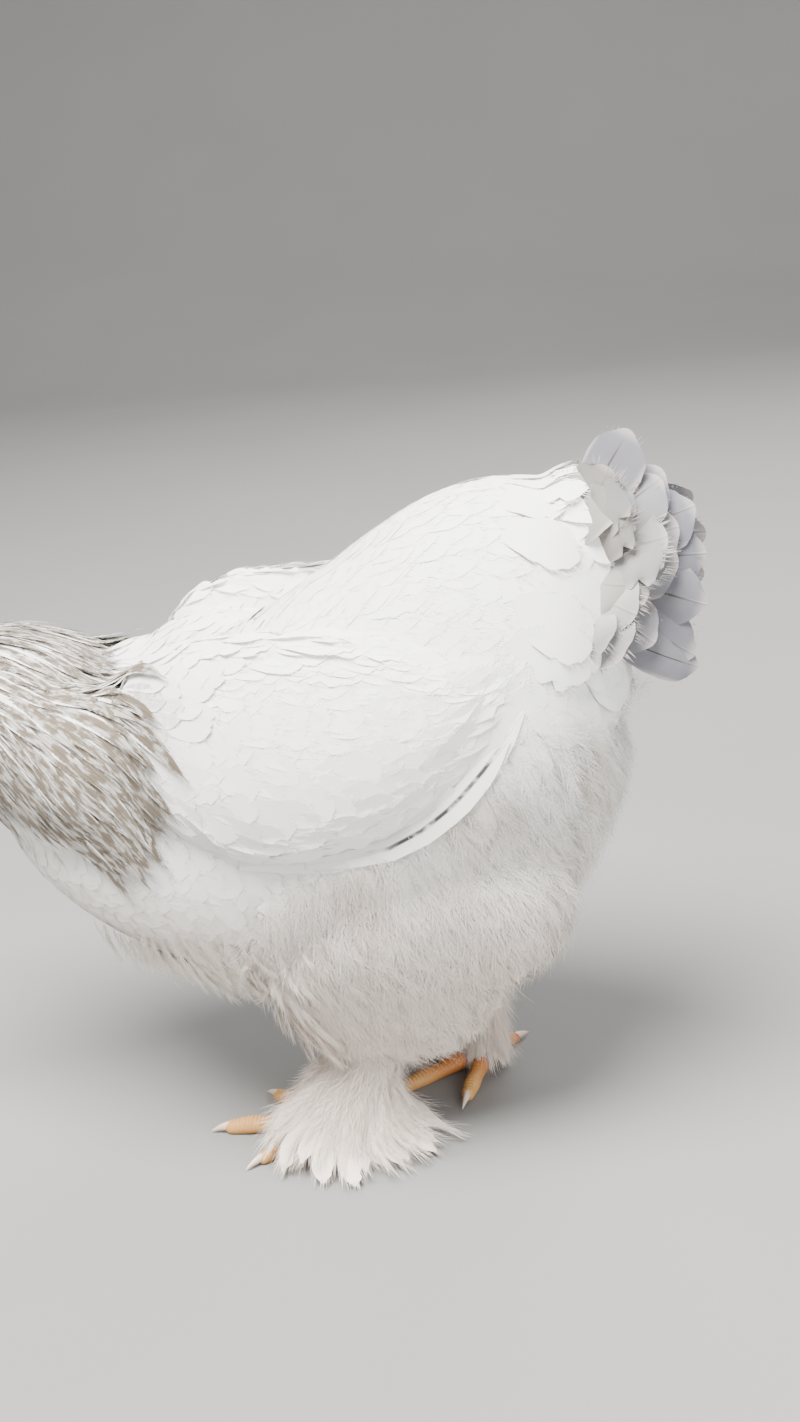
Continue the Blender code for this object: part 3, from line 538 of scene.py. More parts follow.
def hackle_finish(name):
    """Blotched grey-brown centres, thinly laced with white, the stripe ending short of the tip."""
    recipe = Recipe(name, 0.7, Sheen_Weight=0.1, Sheen_Roughness=0.5, Specular_IOR_Level=0.2)
    across, along, aside = feather_across(recipe)
    mark = recipe.value_of("mark")
    colour = recipe.mix(recipe.value_of("tone"), WHITE, CREAM)
    fine = recipe.noise(700.0, 2.0)
    edge = recipe.between(along, 0.05, 0.70, 0.37, 0.78)
    edge = recipe.maths("ADD", edge, recipe.times(recipe.maths("SUBTRACT", fine, 0.5), 0.45))
    inner = recipe.maths("SUBTRACT", across, edge)
    stripe = recipe.between(inner, -0.14, 0.08, 1.0, 0.0)
    end = recipe.maths("ADD", along, recipe.times(across, 0.08))
    stripe = recipe.times(stripe, recipe.between(end, 0.95, 1.02, 1.0, 0.0))
    own_map = recipe.vector(recipe.times(aside, 1.3), recipe.times(along, 9.0),
                            recipe.times(recipe.value_of("tone"), 60.0))
    blotch = recipe.noise(1.0, 3.0, own_map)
    stripe = recipe.times(stripe, recipe.between(blotch, 0.36, 0.56, 0.62, 1.0))
    stripe = recipe.times(stripe, mark)
    dark = recipe.mix(recipe.value_of("depth"), PALE_DUN, DUN)
    colour = recipe.mix(stripe, colour, dark)
    lines_at = barb_lines(recipe, across, along, 60.0, 6.0)
    colour = recipe.mix(recipe.times(lines_at, 0.015), colour, PALE_DUN)
    shaft = recipe.times(recipe.between(across, 0.02, 0.08, 0.65, 0.0), mark)
    colour = recipe.mix(shaft, colour, DUN)
    return recipe.done(colour, [(lines_at, 0.08, 0.0003)])


def tail_finish(name):
    """Pale lavender grey with a fine dark shaft that fades before the tip, and a whitish edge."""
    recipe = Recipe(name, 0.6, Sheen_Weight=0.05, Specular_IOR_Level=0.25)
    across, along, _ = feather_across(recipe)
    mark = recipe.value_of("mark")
    grey = recipe.mix(recipe.value_of("tone"), LAVENDER, PALE_LAVENDER)
    streak = recipe.noise(60.0, 3.0)
    grey = recipe.mix(recipe.between(streak, 0.4, 0.7, 0.0, 0.35), grey, DEEP_LAVENDER)
    colour = recipe.mix(mark, recipe.mix(recipe.value_of("tone"), DULL_WHITE, OLD_IVORY), grey)
    rim = recipe.between(across, 0.78, 0.97, 0.0, 0.6)
    tip = recipe.between(along, 0.90, 1.0, 0.0, 0.6)
    colour = recipe.mix(recipe.maths("MAXIMUM", rim, tip), colour, WORN_RIM)
    lines_at = barb_lines(recipe, across, along, 60.0, 14.0)
    colour = recipe.mix(recipe.times(lines_at, 0.06), colour, DEEP_LAVENDER)
    shaft = recipe.between(across, 0.018, 0.042, 0.95, 0.0)
    shaft = recipe.times(shaft, recipe.between(along, 0.74, 0.92, 1.0, 0.0))
    shaft = recipe.times(shaft, recipe.maths("ADD", recipe.times(mark, 0.8), 0.12))
    colour = recipe.mix(shaft, colour, DUN)
    ridge = recipe.between(across, 0.0, 0.05, 1.0, 0.0)
    return recipe.done(colour, [(lines_at, 0.2, 0.0003), (ridge, 0.5, 0.0005)])


def flight_finish(name):
    """White webs with a thin slate stripe beside the shaft, to the right on the map."""
    recipe = Recipe(name, 0.6, Sheen_Weight=0.15, Specular_IOR_Level=0.3)
    across, along, aside = feather_across(recipe)
    mark = recipe.value_of("mark")
    colour = recipe.mix(recipe.value_of("tone"), WHITE, CREAM)
    low = recipe.between(aside, -0.02, 0.06, 0.0, 1.0)
    rim = recipe.between(aside, 0.24, 0.40, 1.0, 0.0)
    ends = recipe.times(recipe.between(along, 0.16, 0.40, 0.0, 1.0),
                        recipe.between(along, 0.88, 1.0, 1.0, 0.0))
    worn = recipe.between(recipe.noise(120.0, 2.0), 0.35, 0.6, 0.35, 1.0)
    dark = recipe.times(recipe.times(low, rim), recipe.times(mark, ends))
    dark = recipe.times(dark, worn)
    colour = recipe.mix(dark, colour, SLATE)
    lines_at = barb_lines(recipe, across, along, 80.0, 16.0)
    colour = recipe.mix(recipe.times(lines_at, 0.05), colour, PALE_DUN)
    ridge = recipe.between(across, 0.0, 0.06, 1.0, 0.0)
    return recipe.done(colour, [(lines_at, 0.2, 0.0003), (ridge, 0.5, 0.0005)])


def skin_finish(name):
    """Bare red skin on the face, and pale skin under the coat."""
    recipe = Recipe(name, 0.5, Subsurface_Weight=0.15, Subsurface_Scale=0.004, Specular_IOR_Level=0.45)
    recipe.shader.inputs["Subsurface Radius"].default_value = FACE_SOAK
    bare = recipe.value_of("bare")
    dusk = recipe.value_of("dusk")
    pale = recipe.mix(dusk, WHITE, DUSKY_SKIN)
    patch = recipe.noise(240.0, 3.0)
    red = recipe.mix(patch, FACE_RED, FACE_PINK)
    pits = recipe.cells(1500.0)
    red = recipe.mix(recipe.between(pits, 0.1, 0.6, 0.35, 0.0), red, FACE_PITS)
    colour = recipe.mix(bare, pale, red)
    return recipe.done(colour, [(pits, 0.5, 0.0005), (patch, 0.3, 0.0012)])


def comb_finish(name):
    recipe = Recipe(name, 0.42, Subsurface_Weight=0.2, Subsurface_Scale=0.004, Specular_IOR_Level=0.5)
    recipe.shader.inputs["Subsurface Radius"].default_value = COMB_SOAK
    patch = recipe.noise(180.0, 3.0)
    grains = recipe.cells(1100.0)
    colour = recipe.mix(patch, COMB_RED, COMB_PINK)
    colour = recipe.mix(recipe.between(grains, 0.0, 0.5, 0.4, 0.0), colour, COMB_PITS)
    return recipe.done(colour, [(grains, 0.6, 0.0006), (patch, 0.3, 0.001)])


def bill_finish(name):
    """Yellow horn, darker along the ridge, with growth lines."""
    recipe = Recipe(name, 0.35, Coat_Weight=0.15, Coat_Roughness=0.3, Specular_IOR_Level=0.5)
    cloud = recipe.noise(160.0, 4.0)
    colour = recipe.mix(cloud, HORN, PALE_HORN)
    colour = recipe.mix(recipe.times(recipe.value_of("ridge"), 0.75), colour, DARK_HORN)
    lines_at = recipe.noise(700.0, 2.0)
    return recipe.done(colour, [(lines_at, 0.15, 0.0004)])


def toe_finish(name):
    """Yellow-orange scales, with painted shade that turns the right foot, the far one, deeper orange, and
    grime on them.
    """
    recipe = Recipe(name, 0.5, Subsurface_Weight=0.08, Subsurface_Scale=0.003, Specular_IOR_Level=0.4)
    cloud = recipe.noise(90.0, 4.0)
    colour = recipe.mix(cloud, SCALE_ORANGE, SCALE_YELLOW)
    aside = recipe.split(recipe.place())[1]
    # Painted shade: the right foot, on the far side, goes deeper orange
    colour = recipe.mix(recipe.between(aside, -0.015, 0.02, 0.0, 0.9), colour, SHADED_FOOT_ORANGE)
    grime = recipe.noise(420.0, 5.0)
    colour = recipe.mix(recipe.between(grime, 0.52, 0.72, 0.0, 0.55), colour, GRIME)
    grains = recipe.cells(900.0)
    return recipe.done(colour, [(grains, 0.35, 0.0004), (cloud, 0.3, 0.0006)])


def claw_finish(name):
    recipe = Recipe(name, 0.38, Coat_Weight=0.1, Specular_IOR_Level=0.5)
    cloud = recipe.noise(260.0, 4.0)
    colour = recipe.mix(cloud, CLAW_PINK, CLAW_CREAM)
    lines_at = recipe.noise(800.0, 2.0)
    return recipe.done(colour, [(lines_at, 0.2, 0.0003)])


def eye_finish(name):
    """Reddish bay iris with a dark rim, round a black pupil."""
    recipe = Recipe(name, 0.06, Coat_Weight=0.6, Coat_Roughness=0.03, Specular_IOR_Level=0.6)
    out = recipe.value_of("iris")
    streak = recipe.noise(900.0, 3.0)
    iris = recipe.mix(streak, IRIS_BROWN, IRIS_BAY)
    iris = recipe.mix(recipe.between(out, 0.52, 0.72, 0.0, 1.0), iris, IRIS_RIM)
    colour = recipe.mix(recipe.between(out, 0.30, 0.34, 1.0, 0.0), iris, PUPIL)
    return recipe.done(colour)


# Each look is a finish and the slot that it fills
LOOKS = {
    "white": (plumage_finish("white_coat", WHITE, COAT_SHADE, COAT_ROOT_AND_SHADE), "white_plumage"),
    "fluff": (plumage_finish("soft_coat", FLUFF_WHITE, FLUFF_SHADE, FLUFF_ROOT_AND_SHADE, lines=18.0, roughness=0.85,
                             through=0.4), "white_plumage"),
    "hackle": (hackle_finish("laced_coat"), "laced_plumage"),
    "tail": (tail_finish("tail_coat"), "grey_plumage"),
    "flight": (flight_finish("flight_coat"), "white_plumage"),
    "skin": (skin_finish("red_and_pale_skin"), "white_plumage"),
    "comb": (comb_finish("comb_flesh"), "comb_skin"),
    "bill": (bill_finish("yellow_bill"), "bill_horn"),
    "toe": (toe_finish("toe_scales"), "toe_scale"),
    "claw": (claw_finish("pink_claw"), "claw_horn"),
    "eye": (eye_finish("bay_eye"), "eye_amber"),
}


# Feathers: each kind is a flat pattern of points, from root 0 to tip 1 and across from -1 to 1, which is
# then laid along a centre line on the skin

# Outlines of blades: place along the shaft, and share of the full half width
ROUND = [(0.0, 0.30), (0.18, 0.66), (0.40, 0.92), (0.62, 1.00), (0.80, 0.90), (0.92, 0.64), (1.0, 0.30)]
LANCE = [(0.0, 0.35), (0.20, 0.72), (0.45, 1.00), (0.65, 0.96), (0.82, 0.70), (0.94, 0.34), (1.0, 0.08)]
STRAP = [(0.0, 0.30), (0.30, 0.80), (0.60, 1.00), (0.82, 0.86), (0.94, 0.55), (1.0, 0.18)]
SPOON = [(0.0, 0.32), (0.20, 0.70), (0.45, 0.94), (0.70, 1.00), (0.86, 0.90), (0.95, 0.66), (1.0, 0.40)]


def facing_out(along, across, lift, faces, web):
    """The pattern as arrays, with every face turned to the outer side of the feather."""
    along, across, faces = np.array(along), np.array(across), np.array(faces)
    a, b, c = faces.T
    turn = (across[b] - across[a]) * (along[c] - along[a]) - (across[c] - across[a]) * (along[b] - along[a])
    faces[turn > 0] = faces[turn > 0][:, ::-1]
    return along, across, np.array(lift), faces, np.array(web)


def vane_pattern(seed, shape, rows, columns, barbs, camber=0.12, tears=0, barb_reach=0.16, ripple=0.02,
                 fine=0.008, curl=0.0):
    """A whole blade whose edge frays into loose barbs. The last array is what the finish reads as across."""
    rng = np.random.default_rng(seed)
    keys = np.array(shape).T
    levels = 1 - (1 - np.linspace(0, 1, rows + 1)) ** 1.2
    steps = np.linspace(-1, 1, columns + 1)
    along = np.repeat(levels, columns + 1)
    share = np.tile(steps, rows + 1)
    across = share * np.interp(along, *keys)
    bend = rng.uniform(-1, 1) * curl
    lift = bend * along**3 - camber * across**2 + ripple * np.sin(along * 9 + rng.uniform(0, 6)) * across
    for _ in range(tears):
        row = rng.integers(rows // 2, rows)
        column = 0 if rng.random() < 0.5 else columns
        across[row * (columns + 1) + column] *= rng.uniform(0.72, 0.92)
    along = along - 0.06 * share**2 * along**4
    faces = []
    for i in range(rows):
        for j in range(columns):
            a, b = i * (columns + 1) + j, (i + 1) * (columns + 1) + j
            faces += [(a, a + 1, b + 1), (a, b + 1, b)]
    along, across, lift = list(along), list(across), list(lift)
    web = list(across)
    for _ in range(barbs):
        side = rng.choice((-1, 1))
        start = rng.uniform(0.12, 1.0) ** 0.5
        width = np.interp(start, *keys)
        if start > 0.93:
            foot = rng.uniform(-0.95, 0.95) * width
            tip_along = start + barb_reach * rng.uniform(0.3, 0.9)
            tip_across = foot * 1.2 + rng.uniform(-0.04, 0.04)
            ends = [(start - 0.05, foot - 3.5 * fine), (start - 0.05, foot + 3.5 * fine)]
        else:
            foot = side * width * 0.95
            tip_along = start + barb_reach * rng.uniform(0.6, 1.2)
            tip_across = side * (width + barb_reach * rng.uniform(0.2, 0.9))
            ends = [(start - fine, foot), (start + fine, foot)]
        first = len(along)
        for t, s in (*ends, (tip_along, tip_across)):
            along.append(t)
            across.append(s)
            lift.append(bend * t**3 - camber * s * s)
            web.append(side * 0.75)
        lift[-1] += rng.uniform(-0.06, 0.04)
        faces.append((first, first + 1, first + 2))
    return facing_out(along, across, lift, faces, web)


SLENDER = 3.0  # length of a plume against its half width
BARB_STEP = 0.36  # length of one piece of a barb, as a share of its reach


def plume_pattern(seed, barbs, loft_up=0.30, width=0.017, angles=(14, 38)):
    """Loose hair-fine barbs on both sides of a short shaft, with no blade."""
    rng = np.random.default_rng(seed)
    along, across, lift, faces = [], [], [], []
    for k in range(barbs):
        side = 1 if k % 2 else -1
        start = 0.04 + 0.80 * (k / barbs) + rng.uniform(-0.02, 0.02)
        angle = math.radians(rng.uniform(*angles) * (1 - 0.45 * start))
        reach = rng.uniform(0.75, 1.15) * (1.25 - 0.35 * start)
        rise = rng.uniform(-0.2, 1.0) * loft_up
        x, y = 0.0, start * SLENDER
        way = 0.25 * angle
        points = []
        for q, wide in ((0.0, 0.7), (0.36, 1.0), (0.70, 0.8), (1.0, 0.0)):
            if q:
                x += math.sin(way) * reach * BARB_STEP
                y += math.cos(way) * reach * BARB_STEP
            way = angle * (1.25 - 0.55 * q)
            points.append((x, y, q, wide * width))
        for i, (px, py, q, wide) in enumerate(points):
            ahead = points[min(i + 1, 3)]
            behind = points[max(i - 1, 0)]
            nx, ny = ahead[1] - behind[1], -(ahead[0] - behind[0])
            size = math.hypot(nx, ny)
            for sign in (-1, 1) if wide else (0,):
                along.append((py + sign * ny / size * wide) / SLENDER)
                across.append(side * (px + sign * nx / size * wide))
                lift.append(rise * q * q - 0.10 * px * px)
        first = len(along) - 7
        for a, b, c in ((0, 1, 3), (0, 3, 2), (2, 3, 5), (2, 5, 4), (4, 5, 6)):
            faces.append((first + a, first + b, first + c))
    return facing_out(along, across, lift, faces, [0.7] * len(along))


def mirrored(kinds):
    """The same feathers for the other side of the body."""
    return [(along, -across, lift, faces[:, ::-1], web) for along, across, lift, faces, web in kinds]


def patterns(maker, seeds, *sizes, **more):
    return [maker(seed, *sizes, **more) for seed in seeds]


def at_places(given, places):
    """A measure that is one number or a function of the places, at each of them."""
    return given(places) if callable(given) else np.full(len(places), given)


TRIES = 3.2  # roots tried for each one that has room


def spread_points(skin, spacing, seed, allowed):
    """Roots spread over the skin, no nearer than the spacing, which may change from place to place."""
    rng = np.random.default_rng(seed)
    corners = skin["points"][skin["faces"]]
    normal = np.cross(corners[:, 1] - corners[:, 0], corners[:, 2] - corners[:, 0])
    area = np.linalg.norm(normal, axis=1) / 2
    middle = corners.mean(axis=1)
    space = at_places(spacing, middle)
    weight = area / space**2 * allowed(middle, unit(normal))
    count = int(weight.sum() * TRIES)
    chosen = rng.choice(len(weight), count, p=weight / weight.sum())
    mixed = rng.random((count, 2))
    flip = mixed.sum(axis=1) > 1
    mixed[flip] = 1 - mixed[flip]
    a, b, c = corners[chosen].transpose(1, 0, 2)
    spots = a + (b - a) * mixed[:, :1] + (c - a) * mixed[:, 1:]
    room = space[chosen]
    tree = KDTree(count)
    for i, spot in enumerate(spots):
        tree.insert(spot, i)
    tree.balance()
    alive = np.ones(count, bool)
    kept = []
    for i in range(count):
        if alive[i]:
            kept.append(i)
            for _, j, _ in tree.find_range(spots[i], room[i]):
                alive[j] = False
    return spots[kept]


WAVES = 5
WAVE_SUM = 3.2  # about how far the waves add up


def wander(places, seed, size=0.035):
    """A slow swing from about -1 to 1 over the body, so that neighbours lean alike."""
    rng = np.random.default_rng(seed)
    total = np.zeros(len(places))
    for _ in range(WAVES):
        way = rng.normal(size=3)
        phase = places @ (way / np.linalg.norm(way)) * (rng.uniform(0.7, 1.6) / size)
        total += np.sin(phase + rng.uniform(0, 6))
    return total / WAVE_SUM


def turned(vectors, axes, angles):
    """Each vector turned about its axis."""
    c, s = np.cos(angles)[:, None], np.sin(angles)[:, None]
    part = (axes * vectors).sum(axis=1, keepdims=True)
    return vectors * c + np.cross(axes, vectors) * s + axes * part * (1 - c)


ROWS = 7  # points of a centre line
LIFT_POWER = 0.8  # under 1, a feather leaves the skin early


def lay(skin, roots, lengths, flow, seed, lift, sway=0.10, swing=0.14, uneven=0.2, roll=0.07, taut=0):
    """Centre lines that follow the skin from each root, with the side and the outside at each row. Lift is
    the height of roots and of tips, sway turns each line by itself, swing turns neighbours alike, and taut is
    how often the lines are pulled straight over hollows."""
    rng = np.random.default_rng(seed)
    count = len(roots)
    lines = np.empty((count, ROWS, 3))
    outs = np.empty((count, ROWS, 3))
    lean = rng.normal(0, sway, count) + swing * wander(roots, seed + 1)
    spots = roots.copy()
    normals = np.zeros((count, 3))
    find = skin["tree"].find_nearest
    for k in range(ROWS):
        for i in range(count):
            hit, normal, _, _ = find(spots[i])
            spots[i] = hit
            normals[i] = normal
        outs[:, k] = normals if k == 0 else unit(outs[:, k - 1] + 1.4 * normals)
        heading = flow(spots, outs[:, k])
        heading = unit(heading - outs[:, k] * (heading * outs[:, k]).sum(axis=1, keepdims=True))
        heading = turned(heading, outs[:, k], lean)
        lines[:, k] = spots
        spots = spots + heading * (lengths / (ROWS - 1))[:, None]
    for _ in range(taut):
        pull = (lines[:, :-2] + lines[:, 2:]) / 2 - lines[:, 1:-1]
        rise = (pull * outs[:, 1:-1]).sum(axis=2, keepdims=True)
        aside = pull - outs[:, 1:-1] * rise
        lines[:, 1:-1] += outs[:, 1:-1] * np.maximum(rise, 0) + 0.5 * aside
        outs[:, 1:-1] = unit(outs[:, :-2] + outs[:, 1:-1] + outs[:, 2:])
    share = np.linspace(0, 1, ROWS)[None, :] ** LIFT_POWER
    low, high = lift
    high = high[:, None] * rng.uniform(1 - uneven, 1 + uneven, (count, 1))
    lines = lines + outs * (low + (high - low) * share)[..., None]
    ways = unit(np.gradient(lines, axis=1))
    sides = unit(np.cross(outs, ways))
    sides = unit(sides + outs * rng.normal(0, roll, count)[:, None, None])
    return lines, sides, unit(np.cross(ways, sides)), outs


BODY_SPAN = (-0.42, 0.28)  # ends on X of what the bake map unrolls
BODY_MIDDLE = 0.27  # height of the line that it is unrolled round
SHANK_SPAN = (0.0, 0.45)  # ends on Z of the same for the shanks
PATCH = 0.003  # size of one feather on the bake map


def bake_places(roots, upright):
    """Where each root lies on the map of the skin unrolled round its long axis."""
    x, y, z = roots.T
    if upright:
        turn = np.arctan2(y - y.mean(), x - x.mean())
        (low, high), run = SHANK_SPAN, z
    else:
        turn = np.arctan2(y, z - BODY_MIDDLE)
        (low, high), run = BODY_SPAN, x
    spots = np.stack([np.clip((run - low) / (high - low), 0, 1), turn / (2 * math.pi) + 0.5], axis=1)
    return 0.01 + 0.98 * spots


def feather_mesh(name, kinds, laid, half_widths, seed, traits, soft, upright=False):
    """Every feather as one joined mesh, with its own map, its bake patch and its traits. Soft is how far it
    is shaded like the smooth body under it. Upright is true on the shanks."""
    lines, sides, ups, outs = laid
    rng = np.random.default_rng(seed)
    kind_of = rng.integers(0, len(kinds), len(lines))
    at = bake_places(lines[:, 0], upright)
    points, faces, maps, bakes, owner, smooth_ways, start = [], [], [], [], [], [], 0
    for k, (along, across, lift, pattern_faces, web) in enumerate(kinds):
        which = np.flatnonzero(kind_of == k)
        if not len(which):
            continue
        place = along * (ROWS - 1)
        low = np.clip(np.floor(place).astype(int), 0, ROWS - 2)
        share = (place - low)[None, :, None]

        def read(values):
            picked = values[which]
            return picked[:, low] * (1 - share) + picked[:, low + 1] * share

        width = half_widths[which][:, None, None]
        spots = read(lines) + read(sides) * across[None, :, None] * width
        spots = spots + read(ups) * lift[None, :, None] * width
        points.append(spots.reshape(-1, 3))
        smooth_ways.append(read(outs).reshape(-1, 3))
        count = len(along)
        shifts = start + np.arange(len(which))[:, None, None] * count
        faces.append((pattern_faces[None] + shifts).reshape(-1, 3))
        own = np.stack([0.5 + 0.5 * web, along], axis=1)
        maps.append(np.tile(own, (len(which), 1)))
        patch = np.stack([0.5 * across, along - 0.5], axis=1)[None] * PATCH
        bakes.append((at[which][:, None] + patch).reshape(-1, 2))
        owner.append(np.repeat(which, count))
        start += count * len(which)
    points, faces = np.vstack(points), np.vstack(faces)
    owner = np.concatenate(owner)
    mesh = bpy.data.meshes.new(name)
    mesh.vertices.add(len(points))
    mesh.vertices.foreach_set("co", points.astype(np.float32).ravel())
    mesh.loops.add(faces.size)
    mesh.loops.foreach_set("vertex_index", faces.astype(np.int32).ravel())
    mesh.polygons.add(len(faces))
    mesh.polygons.foreach_set("loop_start", np.arange(0, faces.size, 3, dtype=np.int32))
    mesh.update(calc_edges=True)
    for layer, found in (("Feather", np.vstack(maps)), ("OFBake", np.vstack(bakes))):
        made = mesh.uv_layers.new(name=layer)
        made.uv.foreach_set("vector", found[faces.ravel()].astype(np.float32).ravel())
    for trait, values in traits.items():
        write_trait(mesh, trait, values[owner])
    shaded = unit(unit(np.vstack(smooth_ways)) * soft + normals_of(mesh) * (1 - soft))
    mesh.shade_smooth()
    mesh.normals_split_custom_set_from_vertices(shaded.tolist())
    return mesh


# Body: one skin, melted from the same forms as the solids, and the coat that grows on it

def shank_axis(name, z):
    """Middle of the shank at a height."""
    (x, y), _ = FEET[name]
    top = SHANK_TOP[name]
    t = np.clip((z - ANKLE_HEIGHT) / (top[2] - ANKLE_HEIGHT), 0, 1)
    return np.array([x + (top[0] - x) * t, y + (top[1] - y) * t, z])


# Soft swells that fill the hollows between neck, breast, back and wing: place on the right side, and size
SHOULDERS = [((-0.172, 0.050, 0.262), (0.054, 0.042, 0.050)), ((-0.118, 0.050, 0.292), (0.060, 0.036, 0.036))]
SHANK_RADII = ((0.012, 0.05, 0.09), (0.0075, 0.009, 0.011))  # heights, and the radius at each
BODY_VOXEL = 0.0032
BODY_SMOOTHING = 6
SWELLS = (0.0009, 0.0046)  # height of the swells all over, and how much more on the fluff
SWELL_SIZE = 0.028


def body_shapes():
    shapes = [
        loft(egg_rings(TORSO, 60, 56, COAT_DEPTH)),
        loft(egg_rings(NECK, 40, 40)),
        loft(egg_rings(TAIL, 20, 28)),
    ]
    for name, side in SIDES.items():
        back = RIGHT_THIGH_BACK if name == "right" else 0.0
        shapes.append(loft(thigh_rings(side, back, 36, 40, FLUFF_DEPTH)))
        shapes.append(loft(wing_rings(side, 30, 32, WING_COAT_DEPTH)))
        for (x, y, z), size in SHOULDERS:
            shapes.append(globe((x, side * y, z), size, 20, 28))
        heights = np.linspace(SHANK_TOP[name][2], ANKLE_HEIGHT, 8)
        path = [shank_axis(name, z) for z in heights]
        shapes.append(loft(rounded_tube(path, np.interp(heights, *SHANK_RADII), 14)))
    return shapes


def make_body():
    """The skin, with slow swells that are highest where the fluff is deep."""
    mesh = melted("body", body_shapes(), BODY_VOXEL, BODY_SMOOTHING, 0.6)
    low, more = SWELLS
    swell(mesh, low + more * thigh_share(points_of(mesh)), SWELL_SIZE, 500)
    return mesh


def swell(mesh, height, size, seed):
    """Moves each point along its normal by a slow wave, so that the form isn't even."""
    points = points_of(mesh)
    wave = wander(points, seed, size) + 0.5 * wander(points, seed + 1, size / 2)
    place_points(mesh, points + normals_of(mesh) * (wave * height)[:, None])


def surface_from(mesh):
    """Points, triangles and search tree of a mesh."""
    points = points_of(mesh)
    mesh.calc_loop_triangles()
    faces = np.empty(len(mesh.loop_triangles) * 3, np.int32)
    mesh.loop_triangles.foreach_get("vertices", faces)
    faces = faces.reshape(-1, 3)
    tree = BVHTree.FromPolygons([tuple(p) for p in points], [tuple(f) for f in faces.tolist()])
    return {"points": points, "faces": faces, "tree": tree}


# Lower edge of the folded wing, from its front to its tip, and the line behind it where the saddle ends: x, z
WING_EDGE = np.array([(-0.140, 0.262), (-0.129, 0.236), (-0.110, 0.223), (-0.083, 0.217), (-0.040, 0.217),
                      (0.001, 0.227), (0.037, 0.249), (0.068, 0.278), (0.082, 0.300)])
SOFT_EDGE = np.array([(-0.125, 0.090), (-0.100, 0.120), (-0.075, 0.200), (-0.050, 0.214), (0.001, 0.226),
                      (0.037, 0.248), (0.068, 0.277), (0.082, 0.292), (0.110, 0.280), (0.145, 0.268)])
SHANK_COAT_TOP = 0.060  # height under which the coat of the shanks takes over
BACK_END = 0.122  # x behind which no contour feathers grow
FLUFF_END = 0.145  # x behind which no fluff grows


def edge_height(x, edge):
    return np.interp(x, edge[:, 0], edge[:, 1])


def thigh_share(places):
    """How far a place belongs to the fluffy hind parts."""
    x, y, z = places.T
    over = z - edge_height(x, SOFT_EDGE)
    behind = rise_between(x, -0.125, -0.095)
    keel = np.interp(x, (-0.24, -0.20, -0.15, -0.10), (0.156, 0.142, 0.130, 0.122))
    belly = 1 - rise_between(z, keel - 0.010, keel + 0.004)
    return np.maximum((1 - rise_between(over, -0.006, 0.006)) * behind, belly)


def wing_share(places):
    """How far a place lies on the folded wing."""
    x, y, z = places.T
    level = z - edge_height(x, WING_EDGE)
    inside = rise_between(x, -0.150, -0.130) * (1 - rise_between(x, 0.078, 0.088))
    return inside * rise_between(np.abs(y), 0.070, 0.082) * rise_between(level, 0.002, 0.008) * (
        1 - rise_between(z, 0.335, 0.352))


def on_shank(places):
    return places[:, 2] < SHANK_COAT_TOP


def hackle_share(places):
    """How far a place carries hackle: the neck, down to a line that rises towards the shoulders."""
    x, y, z = places.T
    lower = np.interp(x, (-0.35, -0.30, -0.26, -0.235, -0.215), (0.275, 0.282, 0.284, 0.278, 0.262))
    rear = np.interp(z, (0.265, 0.290, 0.305, 0.325), (-0.205, -0.168, -0.168, -0.215))
    rear = rear - 0.030 * rise_between(y, 0.0, 0.030) * rise_between(z, 0.280, 0.300)
    return (1 - rise_between(x, rear - 0.010, rear + 0.006)) * rise_between(z, lower - 0.004, lower + 0.004)


def body_flow(places, outs):
    """Lie of the coat: back along the body and wing, down the breast and the thighs, and over the rump."""
    x, y, z = places.T
    ones, none = np.ones(len(places)), np.zeros(len(places))
    sinking = 0.45 * rise_between(-x, 0.10, 0.24) * rise_between(-z, -0.30, -0.20)
    way = np.stack([ones, none, -0.16 - sinking], 1)
    breast = np.stack([0.75 * ones, none, -ones], 1)
    front = rise_between(-x, 0.17, 0.25) * rise_between(-z, -0.27, -0.22)
    way = way * (1 - front[:, None]) + breast * front[:, None]
    saddle = np.stack([ones, none, -0.55 * ones], 1)
    on_saddle = (rise_between(x, 0.0, 0.09) * rise_between(np.abs(y), 0.03, 0.08))[:, None]
    way = way * (1 - on_saddle) + saddle * on_saddle
    slope = np.gradient(WING_EDGE[:, 1], WING_EDGE[:, 0])
    rise = np.clip(np.interp(x, WING_EDGE[:, 0], slope), -0.6, 1.1)
    near = np.clip(1 - (z - edge_height(x, WING_EDGE)) / 0.11, 0, 1) ** 1.2
    wing = np.stack([ones, none, rise * near - 0.14 * (1 - near)], 1)
    share = wing_share(places)[:, None]
    way = way * (1 - share) + wing * share
    down = np.stack([(0.30 + 2.0 * np.clip(x, -0.1, 0.1)), 0.10 * np.sign(y), -ones], 1)
    rear = np.stack([0.62 * ones, 0.15 * np.sign(y), -ones], 1)
    rump = rise_between(x, 0.06, 0.12)[:, None]
    down = down * (1 - rump) + rear * rump
    thigh = thigh_share(places)[:, None]
    return way * (1 - thigh) + down * thigh


def neck_flow(places, outs):
    """Lie of the hackle: along the neck, sinking on the sides."""
    x, y, z = places.T
    side = np.abs(outs[:, 1])
    low = rise_between(-z, -0.32, -0.24)
    outward = 0.34 * np.sign(y) * rise_between(np.abs(y), 0.004, 0.030)
    return np.stack([np.ones(len(x)), outward, -0.18 - side * (0.52 + 0.65 * low)], 1)


LARGEST = 180000  # most faces in one piece
SIZES = (0.85, 1.15)  # smallest and largest feather, against its own measures


